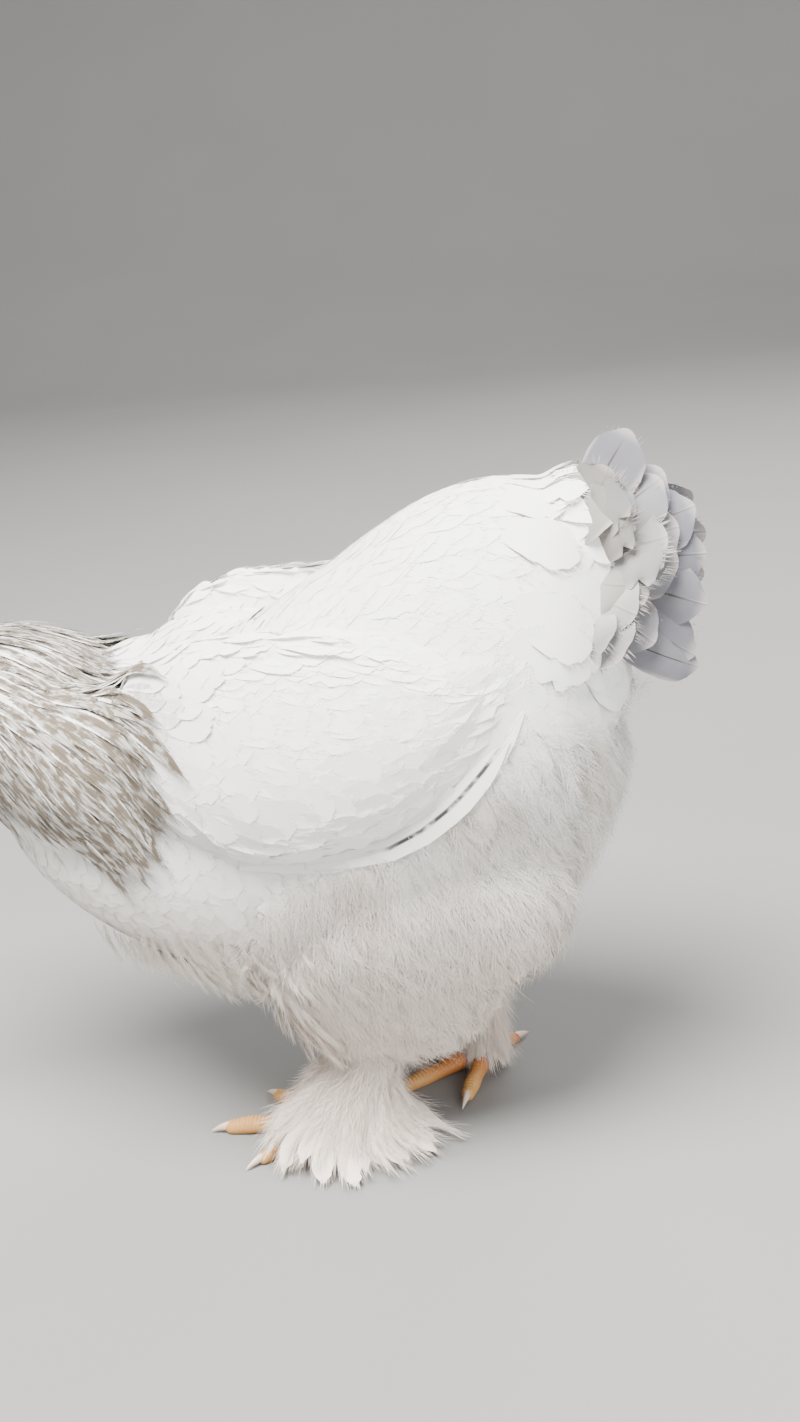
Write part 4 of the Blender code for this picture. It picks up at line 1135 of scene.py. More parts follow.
def grow(name, look, skin, kinds, spacing, allowed, length, half_width, flow, seed, lift, mark=0.0,
         depth=0.0, soft=0.7, **more):
    """Spreads one kind of feather over part of the skin and sets it as pieces of at most LARGEST faces."""
    roots = spread_points(skin, spacing, seed, allowed)
    rng = np.random.default_rng(seed + 7)
    size = rng.uniform(*SIZES, len(roots))
    lift = (lift[0], at_places(lift[1], roots))
    laid = lay(skin, roots, at_places(length, roots) * size, flow, seed + 11, lift, **more)
    widths = at_places(half_width, roots) * size
    tone = rng.random(len(roots))
    traits = {"tone": tone, "mark": at_places(mark, roots), "depth": at_places(depth, roots)}
    per = np.mean([len(kind[3]) for kind in kinds])
    parts = int(math.ceil(len(roots) * per / LARGEST))
    order = np.argsort(roots[:, 1], kind="stable")
    for i, which in enumerate(np.array_split(order, parts)):
        piece_name = name if parts == 1 else f"{name}_{i + 1}"
        some = tuple(values[which] for values in laid)
        some_traits = {trait: values[which] for trait, values in traits.items()}
        mesh = feather_mesh(piece_name, kinds, some, widths[which], seed + 13 + i, some_traits, soft)
        set_piece(piece_name, mesh, look)


def graded(way, at, values):
    """A measure that changes along X, when way is 0, or along Z, when it is 2."""
    return lambda places: np.interp(places[:, way], at, values)


COAT_AT = (-0.34, -0.26, -0.16, 0.0, 0.10)  # x, from breast to rump, of the measures of the coat


def grow_body_coat(skin):
    """Rounded contour feathers on the breast, back and saddle, and larger ones on the rump and the wings."""
    kinds = patterns(vane_pattern, range(1, 7), ROUND, 6, 4, 90, camber=0.03, tears=1, barb_reach=0.15,
                     fine=0.005)
    rump = patterns(vane_pattern, range(14, 19), SPOON, 10, 6, 110, camber=0.10, tears=2, barb_reach=0.13,
                    fine=0.005, ripple=0.05)
    covers = patterns(vane_pattern, range(8, 13), SPOON, 8, 5, 110, camber=0.03, tears=1, barb_reach=0.11,
                      fine=0.004)

    def allowed(places, normals):
        plain = (1 - thigh_share(places)) * (1 - hackle_share(places)) * ~on_shank(places)
        return plain * (places[:, 0] < BACK_END) * (1 - 0.75 * wing_share(places))

    def on_rump(places, normals):
        x, y, z = places.T
        level = rise_between(x, 0.070, 0.090) * (1 - rise_between(x, 0.126, 0.132))
        return level * rise_between(z, 0.315, 0.335)

    def on_wing(places, normals):
        return wing_share(places) * (1 - thigh_share(places))

    def cover_height(places):
        return 0.0020 - 0.0011 * rise_between(places[:, 2], 0.250, 0.300)

    grow("body_feathers", "white", skin, kinds,
         spacing=graded(0, COAT_AT, (0.0040, 0.0056, 0.0066, 0.0072, 0.0076)), allowed=allowed,
         length=graded(0, COAT_AT, (0.013, 0.022, 0.028, 0.036, 0.046)),
         half_width=graded(0, COAT_AT, (0.0042, 0.0075, 0.0095, 0.0115, 0.0105)), flow=body_flow, seed=101,
         lift=(0.0001, 0.0011), uneven=0.12, roll=0.01, soft=0.92)
    grow("rump_covers", "white", skin, rump, spacing=0.0105, allowed=on_rump, length=0.046, half_width=0.0150,
         flow=body_flow, seed=141, lift=(0.0006, 0.0065), uneven=0.25, roll=0.04, sway=0.08, swing=0.10,
         soft=0.85)
    grow("wing_covers", "white", skin, covers, spacing=0.0098, allowed=on_wing, length=0.040,
         half_width=0.0125, flow=body_flow, seed=131, lift=(0.0003, cover_height), uneven=0.12, roll=0.01,
         sway=0.05, swing=0.06, soft=0.92)


def grow_fluff(skin):
    """Soft feathers under fine loose plumes on the thighs, the belly and the rear."""
    under = patterns(vane_pattern, range(30, 35), STRAP, 5, 2, 30, camber=0.15, tears=1, barb_reach=0.20)
    inner = patterns(plume_pattern, range(20, 26), 20, width=0.022)
    outer = patterns(plume_pattern, range(26, 32), 26, width=0.015, angles=(10, 34), loft_up=0.45)
    wisps = patterns(plume_pattern, range(270, 276), 12, width=0.011, angles=(8, 30), loft_up=0.6)
    length = graded(2, (0.06, 0.11, 0.2, 0.3), (0.024, 0.030, 0.034, 0.034))
    half_width = graded(2, (0.06, 0.11, 0.3), (0.0075, 0.0092, 0.0100))

    def allowed(places, normals):
        return thigh_share(places) * ~on_shank(places) * (places[:, 0] < FLUFF_END)

    def loose(places):
        return 0.0085 + 0.005 * rise_between(places[:, 0], 0.04, 0.12) + 0.0025 * wander(places, 240, 0.03)

    def on_edges(places, normals):
        x, y, z = places.T
        rear = rise_between(x, 0.085, 0.120)
        front = (1 - rise_between(x, -0.100, -0.070)) * (1 - rise_between(z, 0.14, 0.18))
        low = 1 - rise_between(z, 0.085, 0.110)
        return allowed(places, normals) * np.clip(0.25 + rear + front + low, 0, 1)

    def wisp_height(places):
        return 0.0125 + 0.0045 * wander(places, 281, 0.04)

    layers = [  # name, kinds, spacing, seed, lift, sway, swing
        ("soft_feathers", under, 0.0080, 201, (0.0003, 0.0050), 0.14, 0.24),
        ("inner_plumes", inner, 0.0056, 231, (0.0012, 0.0065), 0.20, 0.34),
        ("outer_plumes", outer, 0.0058, 251, (0.0022, loose), 0.22, 0.40),
    ]
    for name, kinds, spacing, seed, lift, sway, swing in layers:
        grow(name, "fluff", skin, kinds, spacing, allowed, length, half_width, body_flow, seed, lift,
             sway=sway, swing=swing, soft=0.85)
    grow("wisps", "fluff", skin, wisps, spacing=0.0088, allowed=on_edges, length=0.038, half_width=0.0105,
         flow=body_flow, seed=291, lift=(0.0040, wisp_height), sway=0.30, swing=0.45, uneven=0.35, soft=0.85)


def grow_hackle(skin):
    """Long tapered feathers from the nape to the shoulders, and the small striped cape below them."""
    kinds = patterns(vane_pattern, range(40, 46), LANCE, 9, 4, 40, camber=0.16, barb_reach=0.05, fine=0.005)
    cape = patterns(vane_pattern, range(50, 54), ROUND, 7, 4, 30, camber=0.12, barb_reach=0.08)

    def allowed(places, normals):
        return hackle_share(places)

    def length(places):
        x, y, z = places.T
        base = np.interp(x, (-0.345, -0.31, -0.27, -0.215, -0.165), (0.026, 0.052, 0.088, 0.108, 0.078))
        on_crest = (1 - rise_between(np.abs(y), 0.012, 0.040)) * rise_between(x, -0.27, -0.22)
        longer_up = 0.16 * np.clip((z - 0.26) / 0.06, 0, 1)
        return base * (0.86 + longer_up - 0.22 * rise_between(z, 0.315, 0.335)) * (1 - 0.40 * on_crest)

    def half_width(places):
        base = np.interp(places[:, 0], (-0.345, -0.30, -0.20), (0.0026, 0.0036, 0.0048))
        return base * (1 + 0.30 * rise_between(-places[:, 2], -0.31, -0.27))

    def tip_height(places):
        return np.interp(places[:, 0], (-0.345, -0.30, -0.225, -0.165), (0.0035, 0.0062, 0.0085, 0.0055))

    def depth(places):
        return np.clip(0.30 + 0.40 * wander(places, 9, 0.05), 0, 1)

    def on_cape(places, normals):
        x, y, z = places.T
        level = rise_between(x, -0.205, -0.19) * (1 - rise_between(x, -0.125, -0.095))
        return level * rise_between(normals[:, 2], 0.30, 0.55)

    def fading(places):
        x, y, z = places.T
        back = 0.8 * (1 - rise_between(x, -0.170, -0.120))
        return back * (1 - 0.9 * rise_between(z, 0.312, 0.330)) * (1 - 0.9 * rise_between(y, 0.005, 0.025))

    grow("hackle", "hackle", skin, kinds,
         spacing=graded(0, (-0.345, -0.26, -0.20), (0.0038, 0.0054, 0.0066)), allowed=allowed, length=length,
         half_width=half_width, flow=neck_flow, seed=301, lift=(0.0010, tip_height), mark=1.0, depth=depth,
         sway=0.05, swing=0.07, uneven=0.12, roll=0.05, soft=0.75, taut=1)
    grow("cape", "hackle", skin, cape, spacing=0.0058, allowed=on_cape, length=0.028, half_width=0.0066,
         flow=body_flow, seed=331, lift=(0.0008, 0.0026), mark=fading, depth=0.2, sway=0.08, uneven=0.12,
         soft=0.88)


def grow_fringe(skin):
    """Loose tufts that hang from the underside of the breast and the front of the thighs."""
    tufts = patterns(plume_pattern, range(340, 346), 30, width=0.026, angles=(8, 26), loft_up=0.25)

    def under(places, normals):
        x, y, z = places.T
        breast = rise_between(x, -0.205, -0.185) * (1 - rise_between(x, -0.080, -0.060))
        return breast * rise_between(-normals[:, 2], -0.05, 0.35) * (z < 0.17) * (z > 0.075)

    def flow(places, outs):
        x, y, z = places.T
        return np.stack([0.55 * np.ones(len(x)), 0.15 * np.sign(y), -np.ones(len(x))], 1)

    grow("breast_fringe", "fluff", skin, tufts, spacing=0.0060, allowed=under, length=0.026,
         half_width=0.0085, flow=flow, seed=361, lift=(0.0015, 0.0150), sway=0.22, swing=0.34, soft=0.8)


WING_REACH = 0.15  # how far out the search for the skin starts


def settle_on(skin, points, out):
    """Points moved against the outward direction onto the skin."""
    found = []
    for point in points:
        start = Vector(point + out * WING_REACH)
        hit = skin["tree"].ray_cast(start, Vector(-out), 2 * WING_REACH)[0]
        found.append(np.array(hit) if hit else point)
    return np.array(found)


def curve_rows(start, middle, end):
    t = np.linspace(0, 1, ROWS)[:, None]
    return (1 - t) ** 2 * np.asarray(start) + 2 * t * (1 - t) * np.asarray(middle) + t**2 * np.asarray(end)


def frames_of(lines, outs, rolls):
    """Sides and outsides of centre lines whose rough outside is known, rolled about their length."""
    lines = np.array(lines)
    outs = np.repeat(np.array(outs)[:, None], ROWS, axis=1)
    ways = unit(np.gradient(lines, axis=1))
    sides = unit(np.cross(outs, ways))
    ups = unit(np.cross(ways, sides))
    rolls = np.asarray(rolls)[:, None, None]
    leaned = unit(ups * np.cos(rolls) - sides * np.sin(rolls))
    return lines, unit(sides * np.cos(rolls) + ups * np.sin(rolls)), leaned, leaned


# Long feathers that show under the wing's lower edge: points of the line as x and z, half width, height over
# the skin and share of dark inner web
FLIGHT_LINES = [
    (((-0.090, 0.218), (-0.030, 0.219), (0.016, 0.235), (0.046, 0.258)), 0.0080, 0.0026, 0.0),
    (((-0.050, 0.217), (0.002, 0.225), (0.040, 0.249), (0.074, 0.288)), 0.0078, 0.0036, 1.0),
    (((-0.020, 0.222), (0.020, 0.236), (0.052, 0.262), (0.083, 0.304)), 0.0070, 0.0020, 0.3),
]


def grow_wings(skin):
    """Tips of the flight feathers along the lower edge of each folded wing."""
    left = patterns(vane_pattern, range(60, 63), SPOON, 14, 6, 30, camber=0.08, barb_reach=0.03, fine=0.004)
    for name, side in SIDES.items():
        out = np.array([0, side * math.cos(WING_LEAN), math.sin(WING_LEAN)])
        lines = []
        for keys, _, lift, _ in FLIGHT_LINES:
            flat = smooth([(x, side * 0.1, z) for x, z in keys], ROWS)
            lines.append(settle_on(skin, flat, out) + out * lift)
        count = len(lines)
        widths, marks = (np.array([line[i] for line in FLIGHT_LINES]) for i in (1, 3))
        laid = frames_of(lines, [out] * count, np.zeros(count))
        traits = {"tone": np.linspace(0.1, 0.5, count), "mark": marks}
        kinds = left if side < 0 else mirrored(left)
        mesh = feather_mesh(f"wing_edge_{name}", kinds, laid, widths, 67, traits, soft=0.4)
        set_piece(f"wing_edge_{name}", mesh, "flight")


# Tail: the fan's middle, tiers from the inside out, and one loose feather low on the left. Each tier gives
# its feathers to a side, the angle, reach, half width and spread of the first and the last, the share of
# grey, and how far it lies over the first tier
FAN_AT = np.array([0.100, 0, 0.364])
TAIL_TIERS = [
    (6, (56, 0.090, 0.0230, 0.006), (-34, 0.096, 0.0200, 0.034), 1.0, 0.0),
    (5, (60, 0.078, 0.0225, 0.010), (-30, 0.078, 0.0200, 0.040), 0.75, 0.004),
    (5, (70, 0.070, 0.0245, 0.012), (-40, 0.066, 0.0225, 0.044), 0.25, 0.007),
    (5, (60, 0.058, 0.0225, 0.012), (-54, 0.054, 0.0205, 0.046), 0.0, 0.010),
]
STRAY = ((0.128, -0.036, 0.330), (0.158, -0.046, 0.314), (0.184, -0.034, 0.302))
STRAY_OUT = np.array([0, -0.93, 0.37])
STRAY_HALF_WIDTH = 0.0135
FAN_ROOT = 0.018  # how far from the fan's middle the feathers start
SIDE_LEAN = 5  # degrees that the last feathers lean to the sky, and how many more the first ones do
TOP_LEAN = 55


def grow_tail():
    """Broad feathers fanned on each side of a ridge, under tiers of softer coverts."""
    main = patterns(vane_pattern, range(70, 75), SPOON, 14, 8, 40, camber=0.20, barb_reach=0.018, fine=0.003,
                    curl=0.25)
    covers = patterns(vane_pattern, range(76, 80), SPOON, 12, 8, 120, camber=0.20, tears=3, barb_reach=0.13,
                      fine=0.005, curl=0.55, ripple=0.09)
    for tier, (count, first, last, mark, over) in enumerate(TAIL_TIERS):
        lines, outs, rolls, widths = [], [], [], []
        rng = np.random.default_rng(71 + tier)
        for side in SIDES.values():
            for i in range(count):
                t = (i + rng.uniform(-0.2, 0.2) * (tier > 0)) / (count - 1)
                if side > 0 and tier < 2 and i < 2:
                    continue  # the right side has two long feathers fewer in each of these tiers
                angle, reach, half, spread = np.array([first, last]).T @ (1 - t, t)
                angle += rng.uniform(-11, 11) * (tier > 0)
                reach *= rng.uniform(0.94, 1.03) if tier == 0 else rng.uniform(0.80, 1.08)
                way = np.array([math.cos(math.radians(angle)), 0, math.sin(math.radians(angle))])
                root = FAN_AT + way * FAN_ROOT + np.array([0, side * (0.003 + 0.55 * spread + over * 0.5), 0])
                tip = FAN_AT + way * reach + np.array([0, side * (spread + over), 0])
                curl = rng.uniform(0.004, 0.012) + over
                middle = (root + tip) / 2 + np.array([0, side * curl, rng.uniform(0.0, 0.006)])
                lean = math.radians(TOP_LEAN * max(1 - t, 0) ** 2 + SIDE_LEAN)
                lines.append(curve_rows(root, middle, tip))
                outs.append(np.array([0, side * math.cos(lean), math.sin(lean)]))
                rolls.append(side * 0.10 + rng.normal(0, 0.05 + 0.06 * (tier > 1)))
                widths.append(half * rng.uniform(0.9, 1.08))
        if tier == 0:
            lines.append(curve_rows(*STRAY))
            outs.append(STRAY_OUT)
            rolls.append(0.0)
            widths.append(STRAY_HALF_WIDTH)
        laid = frames_of(lines, outs, rolls)
        traits = {"tone": rng.random(len(lines)), "mark": np.full(len(lines), mark)}
        kinds = main if tier < 2 else covers
        mesh = feather_mesh(f"tail_tier_{tier + 1}", kinds, laid, np.array(widths), 75, traits, soft=0.15)
        set_piece(f"tail_tier_{tier + 1}", mesh, "tail")


# Shank feathers: reach over the floor by direction, in degrees from the front round the outer side
SHANK_TURNS = (-120, -80, 0, 40, 90, 130, 158, 180, 215, 240)
SHANK_REACH = {
    "left": (0.020, 0.020, 0.026, 0.061, 0.078, 0.090, 0.104, 0.074, 0.034, 0.024),
    "right": (0.018, 0.020, 0.030, 0.034, 0.018, 0.010, 0.009, 0.009, 0.011, 0.014),
}
BELL_TOP = 0.084  # height at which the bell leaves the thigh
BELL_WAIST = {"left": 0.018, "right": 0.007}
BELL_FLARE = 2.5  # over 1, the bell opens mostly near the floor
BELL_SHARE = {"left": 1.0, "right": 0.65}  # share of the feathers that each bell gets, and of their width
BELL_WIDTH = {"left": 1.0, "right": 0.7}
LOWEST_LINE = 0.0010  # least height of a centre line
LOWEST_POINT = 0.0004  # least height of a finished feather


def bell_line(name, turn, reach, start, length):
    """Part of the bell's outline on one side of the shank, with its outward direction."""
    heights = np.linspace(BELL_TOP, 0.0020, 40)
    waist = BELL_WAIST[name]
    out = waist + (reach - waist) * ((BELL_TOP - heights) / BELL_TOP) ** BELL_FLARE
    flat = np.array([math.cos(turn), math.sin(turn), 0.0])
    middles = np.array([shank_axis(name, max(z, ANKLE_HEIGHT)) for z in heights])
    path = np.stack([middles[:, 0], middles[:, 1], heights], 1) + flat * out[:, None]
    steps = np.linalg.norm(np.diff(path, axis=0), axis=1)
    run = np.concatenate([[0], np.cumsum(steps)])
    at = start * max(run[-1] - length, 0) + np.linspace(0, 1, ROWS) * min(length, run[-1])
    line = np.stack([np.interp(at, run, path[:, i]) for i in range(3)], 1)
    along = unit(np.gradient(line, axis=0))
    away = unit(np.cross(np.cross(along, flat + 0.4 * UP), along))
    return line, away


def shank_layer(piece, name, kinds, count, reaches, rise, widths, seed):
    """One layer of a bell, from feathers that start anywhere between its waist and its hem."""
    rng = np.random.default_rng(seed)
    lines, outs, halves = [], [], []
    count = int(BELL_SHARE[name] * count)
    for i in range(count):
        start = (i / count) ** 0.8
        turn = rng.uniform(SHANK_TURNS[0], SHANK_TURNS[-1])
        reach = np.interp(turn, SHANK_TURNS, SHANK_REACH[name]) * rng.uniform(*reaches)
        way = FEET[name][1] - SIDES[name] * math.radians(turn + rng.normal(0, 4))
        line, away = bell_line(name, way, reach, start, rng.uniform(0.034, 0.046))
        over = 0.0005 + rng.uniform(*rise) * np.linspace(0, 1, ROWS)
        line = line + away * over[:, None]
        line[:, 2] = np.maximum(line[:, 2], LOWEST_LINE)
        lines.append(line)
        outs.append(away)
        halves.append(rng.uniform(*widths) * BELL_WIDTH[name])
    lines, outs = np.array(lines), np.array(outs)
    sides = unit(np.cross(outs, unit(np.gradient(lines, axis=1))))
    traits = {"tone": rng.random(len(lines))}
    mesh = feather_mesh(piece, kinds, (lines, sides, outs, outs), np.array(halves), seed, traits, 0.9, True)
    place_points(mesh, points_of(mesh), LOWEST_POINT)
    set_piece(piece, mesh, "fluff")


def grow_shanks():
    """Bells of soft feathers that hang from the hock and spread over the floor outside the toes."""
    blades = patterns(vane_pattern, range(80, 85), ROUND, 7, 5, 150, camber=0.10, tears=2, barb_reach=0.24,
                      fine=0.004, ripple=0.06)
    plumes = patterns(plume_pattern, range(85, 91), 32, width=0.024, angles=(10, 38), loft_up=0.24)
    wisps = patterns(plume_pattern, range(91, 97), 12, width=0.013, angles=(16, 56), loft_up=0.5)
    layers = [  # name, kinds, count, share of the bell's reach, rise over it, half width, seed
        ("feathers", blades, 230, (0.70, 0.94), (0.0002, 0.0022), (0.0060, 0.0082), 87),
        ("plumes", plumes, 700, (0.55, 1.02), (0.0016, 0.0056), (0.0052, 0.0076), 91),
        ("wisps", wisps, 520, (0.60, 1.04), (0.0040, 0.0130), (0.0060, 0.0090), 95),
    ]
    for name in SIDES:
        for layer, kinds, *sizes in layers:
            shank_layer(f"shank_{layer}_{name}", name, kinds, *sizes)


# Head: everything on it is measured from the middle of the skull, forward, outward and up

HEAD_AT = np.array([-0.366, 0.0, 0.301])
HEAD_DIP = math.radians(12)
SKULL = [  # from the back to the bill: forward, top, widest level, bottom, half width
    (-0.034, 0.002, 0.002, 0.002, 0.000),
    (-0.030, 0.011, 0.001, -0.009, 0.009),
    (-0.018, 0.018, 0.000, -0.017, 0.0140),
    (-0.004, 0.0198, 0.000, -0.0190, 0.0155),
    (0.009, 0.0170, -0.001, -0.0165, 0.0130),
    (0.0165, 0.0118, -0.002, -0.0128, 0.0090),
    (0.0220, 0.0076, -0.003, -0.0098, 0.0062),
    (0.0245, -0.002, -0.002, -0.002, 0.000),
]
HEAD_SWELLS = [  # on each side, brow, cheek, side of the bill's root and ear: place, radii and tilt
    ((0.004, 0.0118, 0.0112), (0.0105, 0.0042, 0.0030), 0.15),
    ((-0.002, 0.0108, -0.0068), (0.0115, 0.0042, 0.0078), 0.0),
    ((0.0145, 0.0056, 0.0008), (0.0078, 0.0036, 0.0048), 0.1),
    ((-0.0165, 0.0105, -0.001), (0.0080, 0.0062, 0.0100), 0.0),
]
EYE_AT = (0.003, 0.0125, 0.0045)
EYE_RADIUS = 0.0058
LID_OPENING = (0.0047, 0.0036)  # half length and half height of the opening between the lids
BILL_TOP = [  # forward, up and radius, from root to tip, and the same for the lower half
    (0.010, 0.0030, 0.0064), (0.016, 0.0040, 0.0068), (0.022, 0.0036, 0.0067), (0.027, 0.0022, 0.0062),
    (0.032, -0.0001, 0.0053), (0.0360, -0.0027, 0.0041), (0.0390, -0.0055, 0.0027), (0.0404, -0.0072, 0.0010),
]
BILL_LOW = [
    (0.009, -0.0059, 0.0042), (0.015, -0.0060, 0.0047), (0.021, -0.0059, 0.0045), (0.027, -0.0056, 0.0037),
    (0.032, -0.0061, 0.0025), (0.0350, -0.0067, 0.0010),
]
COMB_AT = (0.008, 0.0, 0.0165)
COMB_RADII = (0.0165, 0.0055, 0.0050)
COMB_TILT = -0.16
COMB_FRONT = 0.0222  # where the first knob of the middle row is
KNOB_STEP = 0.0056  # from one knob to the next, and from one row to the next
ROW_STEP = 0.0043
KNOB_HEIGHT = 0.0182
COMB_VOXEL = 0.0005
COMB_ROWS = [  # side, knobs, how far back the first one is set, extra height, radius
    (-1, 5, 0.0028, 0.0, 0.0030),
    (0, 6, 0.0, 0.0015, 0.0034),
    (1, 5, 0.0028, 0.0, 0.0030),
]
FOLDS = {  # each of some flat balls, with place, radii and tilt, and of swells with height, size and seed
    "wattle": ([
        ((0.010, 0.0068, -0.0235), (0.0070, 0.0021, 0.0108), 0.15),
        ((0.011, 0.0062, -0.0155), (0.0060, 0.0024, 0.0060), 0.0),
        ((0.007, 0.0072, -0.0245), (0.0034, 0.0020, 0.0082), 0.25),
    ], (0.00022, 0.0030, 7)),
    "earlobe": ([
        ((-0.0125, 0.0150, -0.0085), (0.0048, 0.0021, 0.0086), 0.10),
        ((-0.0115, 0.0140, -0.0025), (0.0040, 0.0020, 0.0040), 0.0),
    ], (0.0002, 0.0026, 8)),
}


def on_head(forward, outward, up):
    """Places that are this far forward, outward and up of the head's middle."""
    c, s = math.cos(HEAD_DIP), math.sin(HEAD_DIP)
    forward, outward, up = np.broadcast_arrays(forward, outward, up)
    return np.stack(
        [
            HEAD_AT[0] - forward * c - up * s,
            HEAD_AT[1] + outward,
            HEAD_AT[2] - forward * s + up * c,
        ],
        axis=-1,
    )


def off_head(places):
    """How far forward, outward and up of the head's middle places are."""
    c, s = math.cos(HEAD_DIP), math.sin(HEAD_DIP)
    x, y, z = (places - HEAD_AT).T
    return -x * c - z * s, y, z * c - x * s


def head_ball(place, radii, tilt=0.0):
    return globe(on_head(*place), radii, 16, 20, tilt - HEAD_DIP)


def lid_ring(side, width=0.00075, wide=1.12):
    """A thin tube round the opening between the lids, lying on the eye. Wide is its size against the
    opening's."""
    turns, around = 72, 12
    half_long, half_high = LID_OPENING
    points, faces = [], []
    for i in range(turns):
        a = 2 * math.pi * i / turns
        forward = half_long * wide * math.cos(a)
        up = half_high * wide * math.sin(a)
        out = math.sqrt(max((EYE_RADIUS + 0.0002) ** 2 - forward**2 - up**2, 0.0))
        middle = np.array([forward, out, up])
        away = unit(np.array([math.cos(a), 0.3, math.sin(a)]))
        normal = unit(middle)
        for j in range(around):
            b = 2 * math.pi * j / around
            spot = middle + width * (math.cos(b) * away + math.sin(b) * normal)
            points.append(on_head(EYE_AT[0] + spot[0], side * (EYE_AT[1] + spot[1]), EYE_AT[2] + spot[2]))
            k, m = (i + 1) % turns, (j + 1) % around
            faces.append((i * around + j, k * around + j, k * around + m, i * around + m))
    return np.array(points), faces


def open_lids(points, side):
    """Sinks the skin between the lids behind the eye, and drapes it over the eye round them."""
    forward, out, up = off_head(points)
    a, b, c = forward - EYE_AT[0], side * out - EYE_AT[1], up - EYE_AT[2]
    q = np.sqrt((a / LID_OPENING[0]) ** 2 + (c / LID_OPENING[1]) ** 2)
    near = b > -0.002
    draped = np.sqrt(np.maximum((EYE_RADIUS + 0.0008) ** 2 - a**2 - c**2, 0))
    lid = near & (q >= 1.02) & (q < 2.0)
    share = 1 - rise_between(q, 1.15, 1.9)
    b = np.where(lid, np.maximum(b, b * (1 - share) + draped * share), b)
    sunk = np.sqrt(np.maximum((EYE_RADIUS - 0.0012) ** 2 - a**2 - c**2, 0))
    b = np.where(near & (q < 1.0), np.minimum(b, sunk), b)
    return on_head(forward, side * (b + EYE_AT[1]), up)


def make_head_skin():
    shapes = []
    points, faces = loft(egg_rings(SKULL, 40, 36, 0.0, 1.0))
    shapes.append((on_head(*points.T), faces))
    shapes.append(head_ball((0.004, 0.0, -0.0150), (0.018, 0.0085, 0.0068), 0.10))
    shapes.append(head_ball((0.002, 0.0, -0.0215), (0.013, 0.0030, 0.0085), 0.2))
    nape = [on_head(-0.006, 0, 0.0), on_head(-0.022, 0, -0.001), (-0.350, 0, 0.3010), (-0.335, 0, 0.3010)]
    back = tube_rings(nape, [0.0150, 0.0165, 0.0170, 0.0190], 36, 0.86)
    ends = [np.repeat(ring.mean(axis=0)[None], 36, axis=0) for ring in (back[0], back[-1])]
    shapes.append(loft([ends[0], *back, ends[1]]))
    for side in SIDES.values():
        for (forward, outward, up), radii, tilt in HEAD_SWELLS:
            shapes.append(head_ball((forward, side * outward, up), radii, tilt))
        shapes.append(lid_ring(side))
    mesh = melted("head_skin", shapes, 0.00062, 3)
    points = points_of(mesh)
    for side in SIDES.values():
        mine = points[:, 1] * side > 0
        points[mine] = open_lids(points[mine], side)
    place_points(mesh, points)
    return mesh


def bare_share(places):
    """Where the face is bare and red."""
    forward, out, up = off_head(places)
    low_back = (forward + 0.0015) / 0.0185
    face = (low_back**2 + ((up + 0.0045) / 0.0155) ** 2) < 1.0
    front = (forward > 0.010) & (up < 0.0135 - 0.25 * (forward - 0.010))
    throat = (forward > -0.004) & (up < -0.012)
    return ((face | front | throat) & (forward > -0.019)).astype(float)


def soften_mask(mesh, values, rounds=4):
    """The values averaged with their neighbours along the edges."""
    ends = np.empty(len(mesh.edges) * 2, np.int32)
    mesh.edges.foreach_get("vertices", ends)
    a, b = ends.reshape(-1, 2).T
    for _ in range(rounds):
        total, count = values.copy(), np.ones(len(values))
        np.add.at(total, a, values[b])
        np.add.at(total, b, values[a])
        np.add.at(count, a, 1)
        np.add.at(count, b, 1)
        values = total / count
    return values


def bill_half(rows, flat):
    """One half of the bill: forward, outward and up of its points, its faces, and its middle and radius at
    each point."""
    keys = smooth(rows, 34)
    rings = tube_rings([(forward, 0.0, up) for forward, up, _ in keys], keys[:, 2], 28, flat)
    ends = [np.repeat(ring.mean(axis=0)[None], 28, axis=0) for ring in (rings[0], rings[-1])]
    points, faces = loft([ends[0], *rings, ends[1]])
    at, middles, sizes = np.array(rows).T
    return points.T, faces, np.interp(points[:, 0], at, middles), np.interp(points[:, 0], at, sizes)


def bump(u, w, at, size):
    """1 at a place on the side of the bill, and less round it."""
    return np.exp(-(((u - at[0]) / size[0]) ** 2 + ((w - at[1]) / size[1]) ** 2))


def make_bill():
    """Upper half with a ridge, a pit for the nostril and a hood over the pit, and the lower half."""
    (u, v, w), faces, middle, size = bill_half(BILL_TOP, 0.90)
    above = np.clip((w - middle) / size, -1, 1)
    w = w + 0.00045 * np.clip(1 - np.abs(v) / 0.0016, 0, 1) * (above > 0)
    v = v * (1 - 0.10 * np.clip(-above, 0, 1))
    w = np.where(above < -0.55, middle - size * 0.55 + (w - middle + size * 0.55) * 0.5, w)
    pit = bump(u, w, (0.0225, 0.0052), (0.0026, 0.0012))
    v = v * (1 - 0.34 * pit)
    v = v * (1 + 0.10 * bump(u, w, (0.0215, 0.0072), (0.0038, 0.0011)))
    mesh = closed_mesh("bill_upper", on_head(u, v, w), faces)
    write_trait(mesh, "ridge", np.clip(rise_between(above, 0.55, 0.98) + pit, 0, 1))
    set_piece("bill_top", mesh, "bill", ["bill_upper"])
    (u, v, w), faces, middle, size = bill_half(BILL_LOW, 1.0)
    w = np.minimum(w, middle + size * 0.8)
    mesh = closed_mesh("bill_lower", on_head(u, v, w), faces)
    write_trait(mesh, "ridge", 0.15 * rise_between(u, 0.028, 0.034))
    set_piece("bill_under", mesh, "bill", ["bill_lower"])


